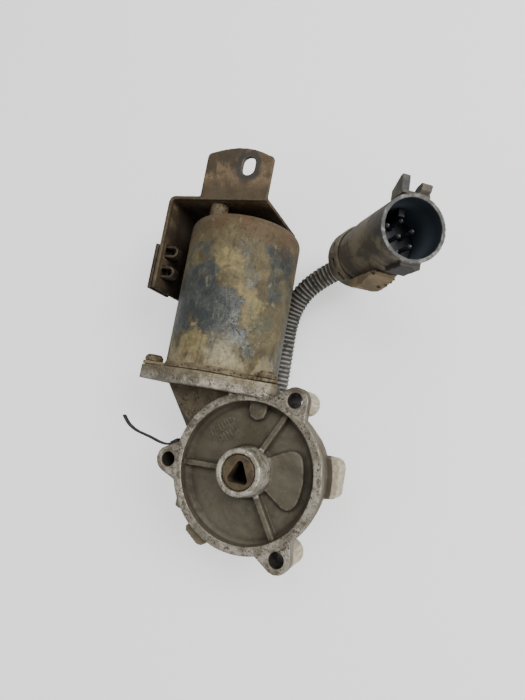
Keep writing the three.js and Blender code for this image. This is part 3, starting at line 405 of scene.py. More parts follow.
def alloy_finish():
    """The gear case: pitted grey rim and hub, smoother olive cavity, muddy outside, bright bosses partly as
    painted light, painted shade in the ear holes and beside the side block, and hub flanks lightened partly
    as painted highlight.
    """
    def build(lay):
        where = lay.place()
        shifted = lay.place(shift=(0.04, 0.02, 0.01))
        x, y, z = lay.parts(where)
        radius = lay.span(x, y)
        inside = lay.both(lay.ramp(radius, CAVITY_RADIUS + 0.6 * MM, CAVITY_RADIUS - 0.6 * MM),
                          lay.ramp(z, 40 * MM, 46 * MM))
        colour = lay.mix(inside, outside_colour(lay, where, shifted, x, y, z, radius),
                         cavity_colour(lay, where, x, y, radius))
        # Painted shade on the wall beside the side block, below the rim.
        right_wall_shade = lay.both(lay.ramp(x, 30 * MM, 33 * MM),
                              lay.ramp(radius, WALL_RADIUS + 0.5 * MM, WALL_RADIUS + 1.1 * MM))
        right_wall_shade = lay.both(right_wall_shade, lay.ramp(z, RIM_LEVEL - 3 * MM, RIM_LEVEL - 5 * MM))
        colour = lay.mix(lay.both(right_wall_shade, 0.8), colour, tone(78, 69, 58))
        # Bare metal on the right-hand faces, lightened further as painted light.
        machined_and_lit = machined_and_lit_mask(lay, x, y, z, radius)
        colour = lay.mix(lay.both(machined_and_lit, 0.9), colour, machined_and_lit_colour(lay, where))

        face = lay.ramp(z, RIM_LEVEL - 0.5 * MM, RIM_LEVEL - 0.15 * MM)
        rim_pits = lay.math("MAXIMUM", lay.pits(where, 820.0, 0.55), lay.pits(shifted, 1400.0, 0.62))
        rim = lay.both(face, lay.ramp(y, 40 * MM, 36 * MM))
        colour = lay.mix(rim, colour, rim_colour(lay, where, rim_pits))
        # Painted shade inside the ears' screw holes.
        ear_hole_shade = 0.0
        for centre in EAR_CENTRES:
            one_hole_shade = lay.ramp(lay.apart(x, y, centre), 3.75 * MM, 3.55 * MM)
            ear_hole_shade = lay.math("MAXIMUM", ear_hole_shade, one_hole_shade)
        ear_hole_shade = lay.both(ear_hole_shade, lay.ramp(z, RIM_LEVEL - 0.3 * MM, RIM_LEVEL - 1.2 * MM))
        colour = lay.mix(lay.both(ear_hole_shade, 0.9), colour, tone(40, 38, 34))

        # The hub's own pale colour, carried over its flanks where it also stands as painted highlight.
        hub_and_flanks = lay.both(lay.ramp(radius, HUB_RADIUS + 2.5 * MM, HUB_RADIUS + 1.9 * MM),
                        lay.ramp(z, CAVITY_FLOOR + 1.5 * MM, CAVITY_FLOOR + 4.5 * MM))
        hub_colour_and_highlight = lay.mix(lay.patches(where, 220.0, 0.44, 0.6), tone(198, 193, 178), tone(146, 139, 122))
        hub_colour_and_highlight = lay.mix(lay.pits(where, 1000.0, 0.6), hub_colour_and_highlight, tone(58, 50, 38))
        colour = lay.mix(hub_and_flanks, colour, hub_colour_and_highlight)
        colour = edge_wear_and_hollow_shade(lay, colour, tone(156, 149, 133), tone(50, 44, 34), 0.25, 0.5)

        smooth = lay.math("MAXIMUM", face, hub_and_flanks)
        rough = lay.ramp(lay.noise(where, 300.0), 0.3, 0.7, 0.56, 0.78)
        rough = lay.math("SUBTRACT", rough, lay.both(smooth, 0.18))
        skin = lay.effect("grain", Vector=where, Scale=800.0)
        height = lay.math("SUBTRACT", skin, lay.both(rim_pits, lay.both(smooth, 1.2)))
        metal = lay.math("ADD", lay.both(smooth, 0.25), 0.3)
        return colour, rough, height, metal
    return finish("weathered_alloy", build, bump=0.4, depth=0.35 * MM)


# Patches on the can as centre and radius in millimetres: tan mud, and steel that shows through it.
TAN_PATCHES = (((-23, 96, 63), 9), ((-15, 84, 60), 8), ((-9, 74, 55), 8), ((-36, 56, 63), 10))
STEEL_PATCHES = (((-38, 101, 63), 8), ((-41, 80, 62), 17), ((-24, 70, 63), 13), ((-3, 104, 46), 9),
                 ((-51, 67, 55), 13), ((-13, 60, 59), 8), ((-34, 90, 63), 9), ((-4, 86, 49), 6),
                 ((-45, 62, 59), 9))
GREEN_PATCH = ((-6, 69, 51), 8)
FLAKED_PATCH = ((-11, 63, 57), 12)
PALE_PATCH = ((-19, 52, 61), 7)


def can_finish():
    """The motor can: tan dust in long smears over blue-grey steel, with fine creases."""
    colours = settings().colours
    steel, rust = colours.steel[:], colours.rust[:]

    def build(lay):
        where = lay.place(shift=(0.013, 0.004, 0.0))
        along = lay.place(stretch=(1.0, 0.55, 1.0), turn=(0.0, 0.0, 0.35), shift=(0.02, 0.05, 0.0))
        plain = lay.place()
        y = lay.parts(plain)["Y"]
        base = lay.mix(lay.patches(where, 95.0, 0.38, 0.62), tone(88, 79, 56), tone(118, 107, 76))
        tan = 0.0
        for centre, radius in TAN_PATCHES:
            tan = lay.math("MAXIMUM", tan, blot(lay, plain, centre, radius, 5 * MM, 110.0))
        rubbed = lay.patches(where, 260.0, 0.3, 0.7)
        base = lay.mix(lay.both(tan, 0.9), base, lay.mix(rubbed, tone(152, 138, 96), tone(122, 109, 74)))
        bare = lay.both(lay.patches(along, 44.0, 0.54, 0.62), 0.8)
        for centre, radius in STEEL_PATCHES:
            bare = lay.math("MAXIMUM", bare, blot(lay, plain, centre, radius, 6 * MM, 90.0))
        specked = lay.patches(where, 300.0, 0.25, 0.5)
        bare = lay.both(bare, lay.ramp(specked, 0.0, 1.0, 0.55, 1.0))
        grey = lay.mix(lay.patches(where, 130.0, 0.42, 0.62), steel, tone(78, 82, 79))
        grey = lay.mix(lay.both(lay.patches(along, 420.0, 0.56, 0.68), 0.5), grey, tone(120, 116, 98))
        colour = lay.mix(lay.both(bare, 0.95), base, grey)
        green = blot(lay, plain, *GREEN_PATCH, 5 * MM, 110.0)
        colour = lay.mix(lay.both(green, 0.6), colour, tone(92, 96, 76))
        ends = lay.ramp(y, CAN_END - 24 * MM, CAN_END - 5 * MM)
        browned = lay.both(ends, lay.patches(where, 90.0, 0.36, 0.55))
        colour = lay.mix(lay.both(browned, 0.9), colour, tone(92, 74, 50))
        reddish = lay.both(lay.ramp(y, CAN_END - 12 * MM, CAN_END - 2 * MM),
                           lay.patches(along, 120.0, 0.5, 0.62))
        colour = lay.mix(lay.both(reddish, 0.7), colour, tone(106, 74, 52))
        low = lay.ramp(y, CAN_BASE + 22 * MM, CAN_BASE + 4 * MM)
        pale = lay.both(lay.patches(along, 70.0, 0.46, 0.58), low)
        colour = lay.mix(lay.both(pale, 0.8), colour, tone(168, 156, 122))
        flaked = lay.both(blot(lay, plain, *FLAKED_PATCH, 6 * MM, 90.0),
                          lay.patches(where, 520.0, 0.5, 0.6))
        colour = lay.mix(lay.both(flaked, 0.35), colour, tone(158, 150, 124))
        washed = blot(lay, plain, *PALE_PATCH, 5 * MM, 130.0)
        colour = lay.mix(lay.both(washed, 0.5), colour, tone(170, 160, 128))
        mottle = lay.patches(where, 620.0, 0.42, 0.66)
        colour = lay.mix(lay.both(mottle, 0.3), colour, tone(54, 50, 38))
        streak = lay.patches(along, 260.0, 0.6, 0.7)
        colour = lay.mix(lay.both(streak, 0.35), colour, tone(164, 156, 128))
        lines = lay.effect("creases", Vector=along, Scale=150.0, Width=0.012)
        colour = lay.mix(lay.both(lines, 0.22), colour, tone(56, 52, 42))
        fleck = lay.pits(where, 420.0, 0.45)
        colour = lay.mix(lay.both(fleck, 0.8), colour, rust)
        colour = edge_wear_and_hollow_shade(lay, colour, tone(120, 102, 70), tone(60, 48, 32))
        rough = lay.ramp(bare, 0.0, 1.0, 0.7, 0.42)
        height = lay.math("ADD", lay.effect("grain", Vector=where, Scale=420.0), lay.both(lines, -0.5))
        height = lay.math("ADD", height, lay.both(bare, -0.6))
        return colour, rough, height
    return finish("dusty_can", build, metallic=0.12, bump=0.6, depth=0.5 * MM)


def flange_finish():
    """Dust-coloured lip, screws and studs with light speckles."""
    def build(lay):
        where = lay.place(shift=(0.03, 0.0, 0.01))
        base = lay.mix(lay.patches(where, 120.0, 0.4, 0.62), tone(96, 84, 62), tone(130, 118, 92))
        base = lay.mix(lay.both(lay.patches(where, 60.0, 0.52, 0.6), 0.8), base, tone(74, 60, 42))
        colour = lay.mix(lay.pits(where, 560.0, 0.6), base, tone(50, 41, 27))
        colour = edge_wear_and_hollow_shade(lay, colour, tone(158, 145, 116), tone(48, 39, 26))
        return colour, 0.78, lay.effect("grain", Vector=where, Scale=700.0)
    return finish("dusty_flange", build, metallic=0.1, bump=0.5, depth=0.4 * MM)


SLOT_PLACE = Vector((-29.2, 150.2, 51)) * MM


def bracket_finish():
    """Dark rusty sheet steel, darker still lower down as painted shade, with a scuffed black-grey ring round
    the slot.
    """
    rust = settings().colours.rust[:]

    def build(lay):
        where = lay.place()
        x, y, z = lay.parts(where)
        base = lay.mix(lay.patches(where, 85.0, 0.38, 0.62), tone(98, 82, 60), tone(134, 114, 88))
        base = lay.mix(lay.both(lay.patches(where, 48.0, 0.48, 0.58), 0.8), base, tone(66, 56, 43))
        scratch = lay.effect("creases", Vector=where, Scale=190.0, Width=0.02)
        base = lay.mix(lay.both(scratch, 0.5), base, tone(46, 40, 32))
        specks = lay.pits(where, 360.0, 0.5)
        colour = lay.mix(lay.both(specks, 0.85), base, rust)
        across, up = lay.math("SUBTRACT", x, SLOT_PLACE.x), lay.math("SUBTRACT", y, SLOT_PLACE.y)
        away = lay.math("SQRT", lay.math("ADD", lay.both(across, across),
                                         lay.both(lay.both(up, up), 0.7)))
        away = lay.math("ADD", away, lay.both(lay.noise(where, 200.0, detail=5.0), 5 * MM))
        scuff = lay.both(lay.ramp(away, 11.5 * MM, 8.5 * MM), lay.ramp(z, 48 * MM, 50 * MM))
        colour = lay.mix(lay.both(scuff, 0.85), colour, tone(50, 51, 50))
        foot = lay.both(lay.ramp(y, 144 * MM, 136 * MM), lay.ramp(z, 48 * MM, 50 * MM))
        colour = lay.mix(lay.both(foot, 0.75), colour, tone(68, 59, 43))
        # Painted shade: darker lower down, inside the bracket.
        shaded = lay.ramp(z, 49.5 * MM, 38 * MM)
        colour = lay.mix(lay.both(shaded, 0.85), colour, tone(42, 34, 25))
        colour = edge_wear_and_hollow_shade(lay, colour, tone(118, 101, 76), tone(34, 27, 19), 0.5, 0.8)
        return colour, lay.ramp(scuff, 0.0, 1.0, 0.74, 0.5), lay.effect("grain", Vector=where, Scale=620.0)
    return finish("rusty_bracket", build, metallic=0.15, bump=0.55, depth=0.4 * MM)


def layered(name, light, dark, spot, edge, hollow_shade, scale=120.0, spots=0.45, rough=0.7, metallic=0.0,
            skin=800.0, bump=0.35, depth=0.3 * MM):
    """A two-tone weathered finish with spots, worn edges and painted shade in its hollows."""
    def build(lay):
        where = lay.place(shift=(0.017, 0.009, 0.021))
        colour = lay.mix(lay.patches(where, scale, 0.4, 0.62), light, dark)
        speck = lay.pits(where, scale * 4, spots)
        colour = lay.mix(lay.both(speck, 0.85), colour, spot)
        colour = edge_wear_and_hollow_shade(lay, colour, edge, hollow_shade)
        roughness = lay.ramp(lay.noise(where, scale * 2), 0.3, 0.7, rough - 0.08, rough + 0.1)
        return colour, roughness, lay.effect("grain", Vector=where, Scale=skin)
    return finish(name, build, metallic=metallic, bump=bump, depth=depth)


def sleeve_finish():
    """The turned sleeve: brown end face, and a socket painted black deeper in as painted shade."""
    def build(lay):
        where = lay.place()
        x, y, z = lay.parts(where)
        radius = lay.span(x, y)
        face = lay.mix(lay.patches(where, 260.0, 0.38, 0.62), tone(94, 79, 57), tone(70, 58, 41))
        face = lay.mix(lay.pits(where, 900.0, 0.5), face, tone(44, 35, 24))
        # Painted shade: the socket turns black deeper in.
        bore = lay.both(lay.ramp(z, SLEEVE_FRONT - 2 * MM, SLEEVE_FRONT - 7.5 * MM),
                        lay.ramp(radius, 7 * MM, 6.6 * MM))
        colour = lay.mix(lay.both(bore, 0.96), face, tone(16, 15, 13))
        colour = edge_wear_and_hollow_shade(lay, colour, tone(112, 96, 70), tone(34, 27, 18), 0.5, 0.6)
        return colour, lay.ramp(bore, 0.0, 1.0, 0.6, 0.8), lay.effect("grain", Vector=where, Scale=1200.0)
    return finish("sleeve_with_painted_socket_shade", build, metallic=0.2, bump=0.4, depth=0.2 * MM)


def conduit_finish():
    """Ribbed black conduit: grey scuffed ridges, dust in the grooves towards the connector, and painted shade
    in the grooves.
    """
    def build(lay):
        where = lay.place()
        ridge = lay.attribute("ridge")
        base = lay.mix(lay.patches(where, 110.0, 0.4, 0.64), tone(54, 54, 51), tone(80, 78, 71))
        dust = lay.both(lay.ramp(lay.attribute("along"), 0.34, 0.12),
                        lay.patches(where, 150.0, 0.34, 0.6))
        base = lay.mix(lay.both(dust, 0.55), base, tone(116, 115, 110))
        tan = lay.both(lay.patches(where, 60.0, 0.42, 0.58),
                       lay.ramp(lay.attribute("along"), 0.45, 0.9))
        colour = lay.mix(lay.both(tan, 0.7), base, tone(104, 94, 74))
        # Painted shade in the grooves between the rings.
        groove_shade = lay.ramp(ridge, 0.45, 0.1)
        colour = lay.mix(lay.both(groove_shade, 0.7), colour, tone(36, 35, 33))
        scuffed = lay.both(lay.ramp(ridge, 0.93, 1.0),
                           lay.ramp(lay.noise(where, 260.0, detail=4.0), 0.32, 0.52))
        colour = lay.mix(lay.both(scuffed, 0.75), colour, tone(164, 160, 150))
        return colour, 0.6, lay.effect("grain", Vector=where, Scale=900.0)
    return finish("scuffed_conduit", build, bump=0.2, depth=0.2 * MM)


def shell_finish():
    """Connector plastic: dusty outside, scuffed light rim, and a blue-grey bore painted lighter further in as
    painted light where it lies in shade.
    """
    plastic = settings().colours.plastic[:]

    def build(lay):
        where = lay.place()
        local = lay.node("ShaderNodeVectorMath", {0: where, 1: tuple(CONNECTOR_REAR)},
                         operation="SUBTRACT").outputs[0]
        depth = lay.node("ShaderNodeVectorMath", {0: local, 1: tuple(CONNECTOR_AXIS)},
                         operation="DOT_PRODUCT").outputs["Value"]
        reach = lay.node("ShaderNodeVectorMath", {0: local}, operation="LENGTH").outputs["Value"]
        radius = lay.math("SQRT", lay.math("MAXIMUM", lay.math(
            "SUBTRACT", lay.both(reach, reach), lay.both(depth, depth)), 0.0))
        dusty = lay.mix(lay.patches(where, 70.0, 0.38, 0.6), tone(94, 86, 71), tone(124, 115, 96))
        dusty = lay.mix(lay.both(lay.patches(where, 44.0, 0.5, 0.58), 0.75), dusty, plastic)
        lines = lay.effect("creases", Vector=where, Scale=140.0, Width=0.015)
        dusty = lay.mix(lay.both(lines, 0.35), dusty, tone(126, 118, 102))
        front = lay.ramp(depth, SHELL_LENGTH - 14 * MM, SHELL_LENGTH - 4 * MM)
        dusty = lay.mix(lay.both(front, lay.patches(where, 60.0, 0.4, 0.6)),
                        dusty, tone(62, 62, 62))
        key_rib = lay.both(lay.ramp(radius, SHELL_RADIUS + 0.1 * MM, SHELL_RADIUS + 0.5 * MM),
                           lay.ramp(lay.parts(where)["Y"], 100 * MM, 97 * MM))
        dusty = lay.mix(lay.both(key_rib, 0.9), dusty, tone(40, 39, 39))
        # Painted light: the bore lies in shade and is painted blue-grey, lighter further in.
        bore = lay.ramp(radius, SHELL_BORE + 0.35 * MM, SHELL_BORE + 0.05 * MM)
        deep = lay.mix(lay.ramp(depth, SHELL_LENGTH - 3 * MM, SHELL_LENGTH - 14 * MM),
                       tone(50, 57, 64), tone(92, 103, 112))
        colour = lay.mix(bore, dusty, deep)
        lip = lay.ramp(depth, SHELL_LENGTH - 0.7 * MM, SHELL_LENGTH - 0.2 * MM)
        colour = lay.mix(lip, colour, tone(78, 78, 76))
        worn = lay.both(lay.ramp(lay.noise(where, 300.0, detail=5.0), 0.5, 0.62), lip)
        colour = lay.mix(lay.both(worn, 0.75), colour, tone(150, 152, 150))
        colour = edge_wear_and_hollow_shade(lay, colour, tone(116, 110, 98), tone(26, 24, 22), 0.4, 0.6)
        rough = lay.ramp(bore, 0.0, 1.0, 0.66, 0.42)
        return colour, rough, lay.effect("grain", Vector=where, Scale=700.0)
    return finish("dusty_connector", build, bump=0.25, depth=0.25 * MM)


FINISHES = {
    "cast_aluminium": alloy_finish,
    "cover_metal": lambda: layered("cover_paint", tone(84, 82, 76), tone(110, 103, 88), tone(70, 46, 28),
                                   tone(150, 146, 136), tone(34, 30, 24), metallic=0.2),
    "rusty_steel": lambda: layered("rusty_steel", tone(70, 60, 47), tone(50, 43, 33), tone(38, 29, 19),
                                   tone(104, 90, 68), tone(26, 21, 15), scale=150.0, metallic=0.1),
    "dusty_steel": flange_finish,
    "dark_steel": bracket_finish,
    "bright_steel": lambda: layered("bright_steel", tone(176, 174, 168), tone(140, 137, 130),
                                    tone(96, 84, 66), tone(214, 212, 206), tone(70, 66, 60), spots=0.3,
                                    rough=0.38, metallic=0.9, skin=1500.0, bump=0.12),
    "bronze": lambda: layered("sintered_bronze", tone(150, 112, 64), tone(122, 90, 52), tone(70, 52, 30),
                              tone(190, 152, 96), tone(66, 46, 26), spots=0.4, rough=0.5, metallic=0.8),
    "wheel_plastic": lambda: layered("gear_plastic", tone(216, 208, 184), tone(202, 192, 164),
                                     tone(150, 132, 96), tone(232, 226, 206), tone(130, 116, 88), spots=0.3,
                                     rough=0.45, bump=0.12),
    "copper": lambda: layered("enamelled_copper", tone(150, 82, 46), tone(122, 64, 38), tone(66, 34, 22),
                              tone(196, 118, 70), tone(60, 30, 18), spots=0.3, rough=0.35, metallic=0.7),
    "laminate": lambda: layered("core_laminate", tone(112, 112, 112), tone(88, 88, 90), tone(84, 60, 40),
                                tone(150, 150, 150), tone(44, 44, 44), spots=0.35, rough=0.5, metallic=0.7),
    "ferrite": lambda: layered("ferrite", tone(58, 58, 60), tone(46, 46, 48), tone(34, 34, 34),
                               tone(84, 84, 86), tone(26, 26, 26), spots=0.4, rough=0.72),
    "board": lambda: layered("circuit_board", tone(52, 84, 54), tone(42, 70, 46), tone(30, 50, 34),
                             tone(96, 128, 92), tone(24, 40, 26), spots=0.25, rough=0.45, bump=0.1),
    "carbon": lambda: layered("carbon", tone(44, 44, 43), tone(34, 34, 33), tone(20, 20, 20),
                              tone(76, 76, 74), tone(18, 18, 18), spots=0.3, rough=0.6),
    "connector_plastic": shell_finish,
    "inner_plastic": lambda: layered("inner_plastic", tone(28, 33, 38), tone(36, 42, 48), tone(60, 58, 52),
                                     tone(58, 66, 74), tone(12, 14, 16), spots=0.3, rough=0.45, bump=0.15),
    "black_rubber": lambda: layered("black_nylon", tone(30, 31, 33), tone(44, 44, 44), tone(90, 84, 70),
                                    tone(70, 72, 74), tone(14, 14, 14), spots=0.3, rough=0.5, bump=0.15),
    "conduit_plastic": conduit_finish,
}


# ---------------------------------------------------------------- mesh helpers

def new_piece(name, shape, node, material, body=None):
    """Links a finished mesh as a piece that stands for a CAD node and rides on its body."""
    mesh = bpy.data.meshes.new(name)
    if isinstance(shape, bmesh.types.BMesh):
        shape.to_mesh(mesh)
        shape.free()
    else:
        mesh = shape
        mesh.name = name
    mesh.materials.clear()
    mesh.materials.append(material)
    mesh.shade_smooth()
    piece = bpy.data.objects.new(name, mesh)
    bpy.context.scene.collection.objects.link(piece)
    mark_edges(mesh)
    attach(piece, body or BODY_OF[node])
    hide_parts(node)
    return piece


def mark_edges(mesh, spread=6):
    """Stores how far each point stands out of its neighbours, from -1 in a corner to 1 on an edge."""
    count = len(mesh.vertices)
    points = np.zeros(count * 3, np.float32)
    mesh.vertices.foreach_get("co", points)
    points = points.reshape(-1, 3)
    normals = np.zeros(count * 3, np.float32)
    mesh.vertex_normals.foreach_get("vector", normals)
    normals = normals.reshape(-1, 3)
    pairs = np.zeros(len(mesh.edges) * 2, np.int32)
    mesh.edges.foreach_get("vertices", pairs)
    first, second = pairs.reshape(-1, 2).T
    links = np.bincount(pairs, minlength=count).clip(1)

    def mean_of_neighbours(values):
        total = np.bincount(first, values[second], count) + np.bincount(second, values[first], count)
        return total / links
    middle = np.stack([mean_of_neighbours(points[:, axis]) for axis in range(3)], 1)
    gaps = np.linalg.norm(points[first] - points[second], axis=1)
    reach = (np.bincount(first, gaps, count) + np.bincount(second, gaps, count)) / links
    stands_out = ((points - middle) * normals).sum(1) / reach.clip(1e-6)
    for _ in range(spread):
        stands_out = 0.5 * stands_out + 0.5 * mean_of_neighbours(stands_out)
    marks = mesh.attributes.new("edge", "FLOAT", "POINT")
    marks.data.foreach_set("value", (stands_out * 9).clip(-1, 1).astype(np.float32))


def cad_copy(node):
    """A merged working copy of a CAD node's mesh."""
    shape = bmesh.new()
    shape.from_mesh(NODES[node].data)
    bmesh.ops.remove_doubles(shape, verts=shape.verts, dist=0.002 * MM)
    return shape


def evaluated(shape, *modifiers):
    """The mesh that a bmesh becomes under a list of (kind, settings) modifiers."""
    mesh = bpy.data.meshes.new("work")
    shape.to_mesh(mesh)
    shape.free()
    worker = bpy.data.objects.new("work", mesh)
    bpy.context.scene.collection.objects.link(worker)
    for kind, choices in modifiers:
        modifier = worker.modifiers.new(kind.lower(), kind)
        for key, value in choices.items():
            setattr(modifier, key, value)
    result = bpy.data.meshes.new_from_object(worker.evaluated_get(bpy.context.evaluated_depsgraph_get()))
    bpy.data.objects.remove(worker)
    bpy.data.meshes.remove(mesh)
    return result


def resurfaced(shape, voxel, smooth=3, most=150_000):
    """An even, soft-edged skin over a faceted shape, as casting and moulding leave it."""
    mesh = evaluated(shape, ("REMESH", {"mode": "VOXEL", "voxel_size": voxel}),
                     ("SMOOTH", {"factor": 0.5, "iterations": smooth}))
    triangles = sum(len(face.vertices) - 2 for face in mesh.polygons)
    if triangles > most:
        work = bmesh.new()
        work.from_mesh(mesh)
        mesh = evaluated(work, ("DECIMATE", {"ratio": most / triangles}))
    return mesh


def lumpy(mesh, depth, size=9 * MM):
    """Wears a surface inwards by up to a depth, as caked mud that has partly fallen off."""
    for vertex in mesh.vertices:
        worn = 0.5 + 0.7 * noise.noise(vertex.co / size) + 0.2 * noise.noise(vertex.co * 3 / size)
        vertex.co -= vertex.normal * depth * min(1.0, max(0.0, worn))
    mesh.update()


def true_up(mesh, point, axis, radii, tolerance=0.14 * MM):
    """Puts points that lie near one of these radii about an axis exactly on it."""
    count = len(mesh.vertices)
    places = np.zeros(count * 3, np.float32)
    mesh.vertices.foreach_get("co", places)
    places = places.reshape(-1, 3).astype(float)
    axis = np.array(axis) / np.linalg.norm(axis)
    from_point = places - np.array(point)
    along = (from_point @ axis)[:, None] * axis
    out = from_point - along
    radius = np.linalg.norm(out, axis=1)
    for wanted in radii:
        near = np.abs(radius - wanted) < tolerance
        out[near] *= (wanted / radius[near])[:, None]
    mesh.vertices.foreach_set("co", (np.array(point) + along + out).astype(np.float32).ravel())
    mesh.update()


def turned(profile, point, axis):
    """A solid turned from (radius, height) points about an axis."""
    shape = bmesh.new()
    start = [shape.verts.new((radius, 0, height)) for radius, height in profile]
    edges = [shape.edges.new(pair) for pair in zip(start, start[1:])]
    bmesh.ops.spin(shape, geom=start + edges, cent=(0, 0, 0), axis=(0, 0, 1), angle=math.tau,
                   steps=settings().sizes.round_steps, use_merge=True, use_duplicate=False)
    bmesh.ops.remove_doubles(shape, verts=shape.verts, dist=0.002 * MM)
    bmesh.ops.recalc_face_normals(shape, faces=shape.faces)
    bmesh.ops.transform(shape, verts=shape.verts, matrix=Matrix.Translation(point)
                        @ Vector(axis).to_track_quat("Z", "Y").to_matrix().to_4x4())
    return shape


def arc(centre, radius, start, end, steps):
    """Points of a quarter or other arc in (radius, height) terms, angles in degrees."""
    return [(centre[0] + radius * math.cos(math.radians(start + (end - start) * i / steps)),
             centre[1] + radius * math.sin(math.radians(start + (end - start) * i / steps)))
            for i in range(steps + 1)]


def filled(profile, longest):
    """A profile with points added so that no step is longer than a limit."""
    result = [profile[0]]
    for start, end in zip(profile, profile[1:]):
        steps = max(1, math.ceil(math.dist(start, end) / longest))
        result += [(start[0] + (end[0] - start[0]) * i / steps, start[1] + (end[1] - start[1]) * i / steps)
                   for i in range(1, steps + 1)]
    return result


def smooth_route(knots, step):
    """Points along a centripetal curve through the knots, about a step apart."""
    first = knots[0] * 2 - knots[1]
    last = knots[-1] * 2 - knots[-2]
    rail = [first, *knots, last]
    points = []
    for a, b, c, d in zip(rail, rail[1:], rail[2:], rail[3:]):
        ta = 0.0
        tb = ta + (b - a).length ** 0.5
        tc = tb + (c - b).length ** 0.5
        td = tc + (d - c).length ** 0.5
        count = max(2, round((c - b).length / step))
        for i in range(count):
            t = tb + (tc - tb) * i / count
            ab = a.lerp(b, (t - ta) / (tb - ta))
            bc = b.lerp(c, (t - tb) / (tc - tb))
            cd = c.lerp(d, (t - tc) / (td - tc))
            points.append(ab.lerp(bc, (t - ta) / (tc - ta)).lerp(bc.lerp(cd, (t - tb) / (td - tb)),
                                                                 (t - tb) / (tc - tb)))
    return points + [knots[-1]]


# ---------------------------------------------------------------- operators

class Builder:
    """What every operator of this add-on shares."""
    bl_options = {"REGISTER", "UNDO"}


class GEARMOTOR_OT_camera(Builder, bpy.types.Operator):
    """Places the camera above the mounting face, looking down along the output shaft"""
    bl_idname = "gearmotor.camera"
    bl_label = "Camera"

    def execute(self, context):
        right = CAMERA_RIGHT.normalized()
        back = right.cross(CAMERA_UP).normalized()
        turn = Matrix((right, back.cross(right), back)).transposed().to_4x4()
        camera = bpy.data.objects.new("camera", bpy.data.cameras.new("camera"))
        camera.matrix_world = Matrix.Translation(CAMERA_PLACE) @ turn
        camera.data.sensor_width = 36.0
        camera.data.lens = CAMERA_LENS
        camera.data.clip_start = 10 * MM
        context.scene.collection.objects.link(camera)
        context.scene.camera = camera
        return {"FINISHED"}


class GEARMOTOR_OT_conduit(Builder, bpy.types.Operator):
    """Builds the corrugated conduit from the grommet to the connector's neck"""
    bl_idname = "gearmotor.conduit"
    bl_label = "Conduit"

    def execute(self, context):
        sizes = settings().sizes
        route = smooth_route(CONDUIT_ROUTE, 0.28 * MM)
        travelled = [0.0]
        for here, there in zip(route, route[1:]):
            travelled.append(travelled[-1] + (there - here).length)

        def ridge_at(distance):
            wave = 0.5 + 0.5 * math.cos(math.tau * distance / sizes.ring_pitch)
            return min(1.0, 1.35 * wave ** 0.8)
        line = bpy.data.curves.new("conduit_line", "CURVE")
        line.dimensions = "3D"
        line.bevel_depth = sizes.conduit_radius
        line.bevel_resolution = 9
        line.use_fill_caps = True
        spline = line.splines.new("POLY")
        spline.points.add(len(route) - 1)
        for point, place, distance in zip(spline.points, route, travelled):
            point.co = (*place, 1)
            point.radius = 1 - (1 - ridge_at(distance)) * sizes.ring_depth / sizes.conduit_radius
        worker = bpy.data.objects.new("conduit_line", line)
        context.scene.collection.objects.link(worker)
        mesh = bpy.data.meshes.new_from_object(worker.evaluated_get(context.evaluated_depsgraph_get()))
        bpy.data.objects.remove(worker)
        bpy.data.curves.remove(line)
        centres = np.array(route)
        ridge = mesh.attributes.new("ridge", "FLOAT", "POINT")
        along = mesh.attributes.new("along", "FLOAT", "POINT")
        for i, vertex in enumerate(mesh.vertices):
            nearest = int(np.argmin(((centres - np.array(vertex.co)) ** 2).sum(1)))
            ridge.data[i].value = ridge_at(travelled[nearest])
            along.data[i].value = travelled[nearest] / travelled[-1]
        piece = new_piece("corrugated_conduit", mesh, "conduit", conduit_finish())
        on_its_end = [NODES[name] for name in PIN_NODES]
        on_its_end += [bpy.data.objects[name] for _, name, _, _ in CONNECTOR_SKINS]
        return {"FINISHED"}


# Each moulded node of the connector with its visible piece, voxel size and most triangles.
CONNECTOR_SKINS = (
    ("connector_shell", "connector_body", 0.34 * MM, 150_000),
    ("connector_collar", "collar_ring", 0.28 * MM, 70_000),
    ("connector_latch", "latch_ears", 0.24 * MM, 40_000),
    ("connector_clip", "mount_clip", 0.35 * MM, 40_000),
    ("pin_block", "pin_carrier", 0.3 * MM, 40_000),
)
# Radii about its axis that the skins are trued to: rear hole, wire chamber, bore, rear, front, collar.
CONNECTOR_RADII = [6.6 * MM, 10.4 * MM, SHELL_BORE, 13.1 * MM, SHELL_RADIUS, 14.5 * MM]
PIN_NODES = [f"pin_{i}" for i in range(1, 8)]


class GEARMOTOR_OT_connector(Builder, bpy.types.Operator):
    """Builds the round connector: shell, collar, latch ears, mounting clip and pin carrier"""
    bl_idname = "gearmotor.connector"
    bl_label = "Connector"

    def execute(self, context):
        for node, name, voxel, most in CONNECTOR_SKINS:
            mesh = resurfaced(cad_copy(node), voxel, smooth=4, most=most)
            true_up(mesh, CONNECTOR_REAR, CONNECTOR_AXIS, CONNECTOR_RADII)
            material = FINISHES[SLOT_OF[node]]()
            if node == "connector_clip":
                lumpy(mesh, 0.6 * MM)
                material = layered("muddy_clip", tone(140, 123, 96), tone(112, 98, 75), tone(70, 60, 45),
                                   tone(164, 148, 118), tone(60, 51, 39), scale=110.0, spots=0.2, rough=0.85,
                                   bump=0.5, depth=0.4 * MM)
            new_piece(name, mesh, node, material)
        dull = layered("dull_pins", tone(92, 96, 100), tone(70, 74, 78), tone(52, 50, 46),
                       tone(122, 126, 130), tone(36, 38, 40), spots=0.3, rough=0.55, metallic=0.35, bump=0.1)
        for node in PIN_NODES:
            dress(node, dull)
        return {"FINISHED"}


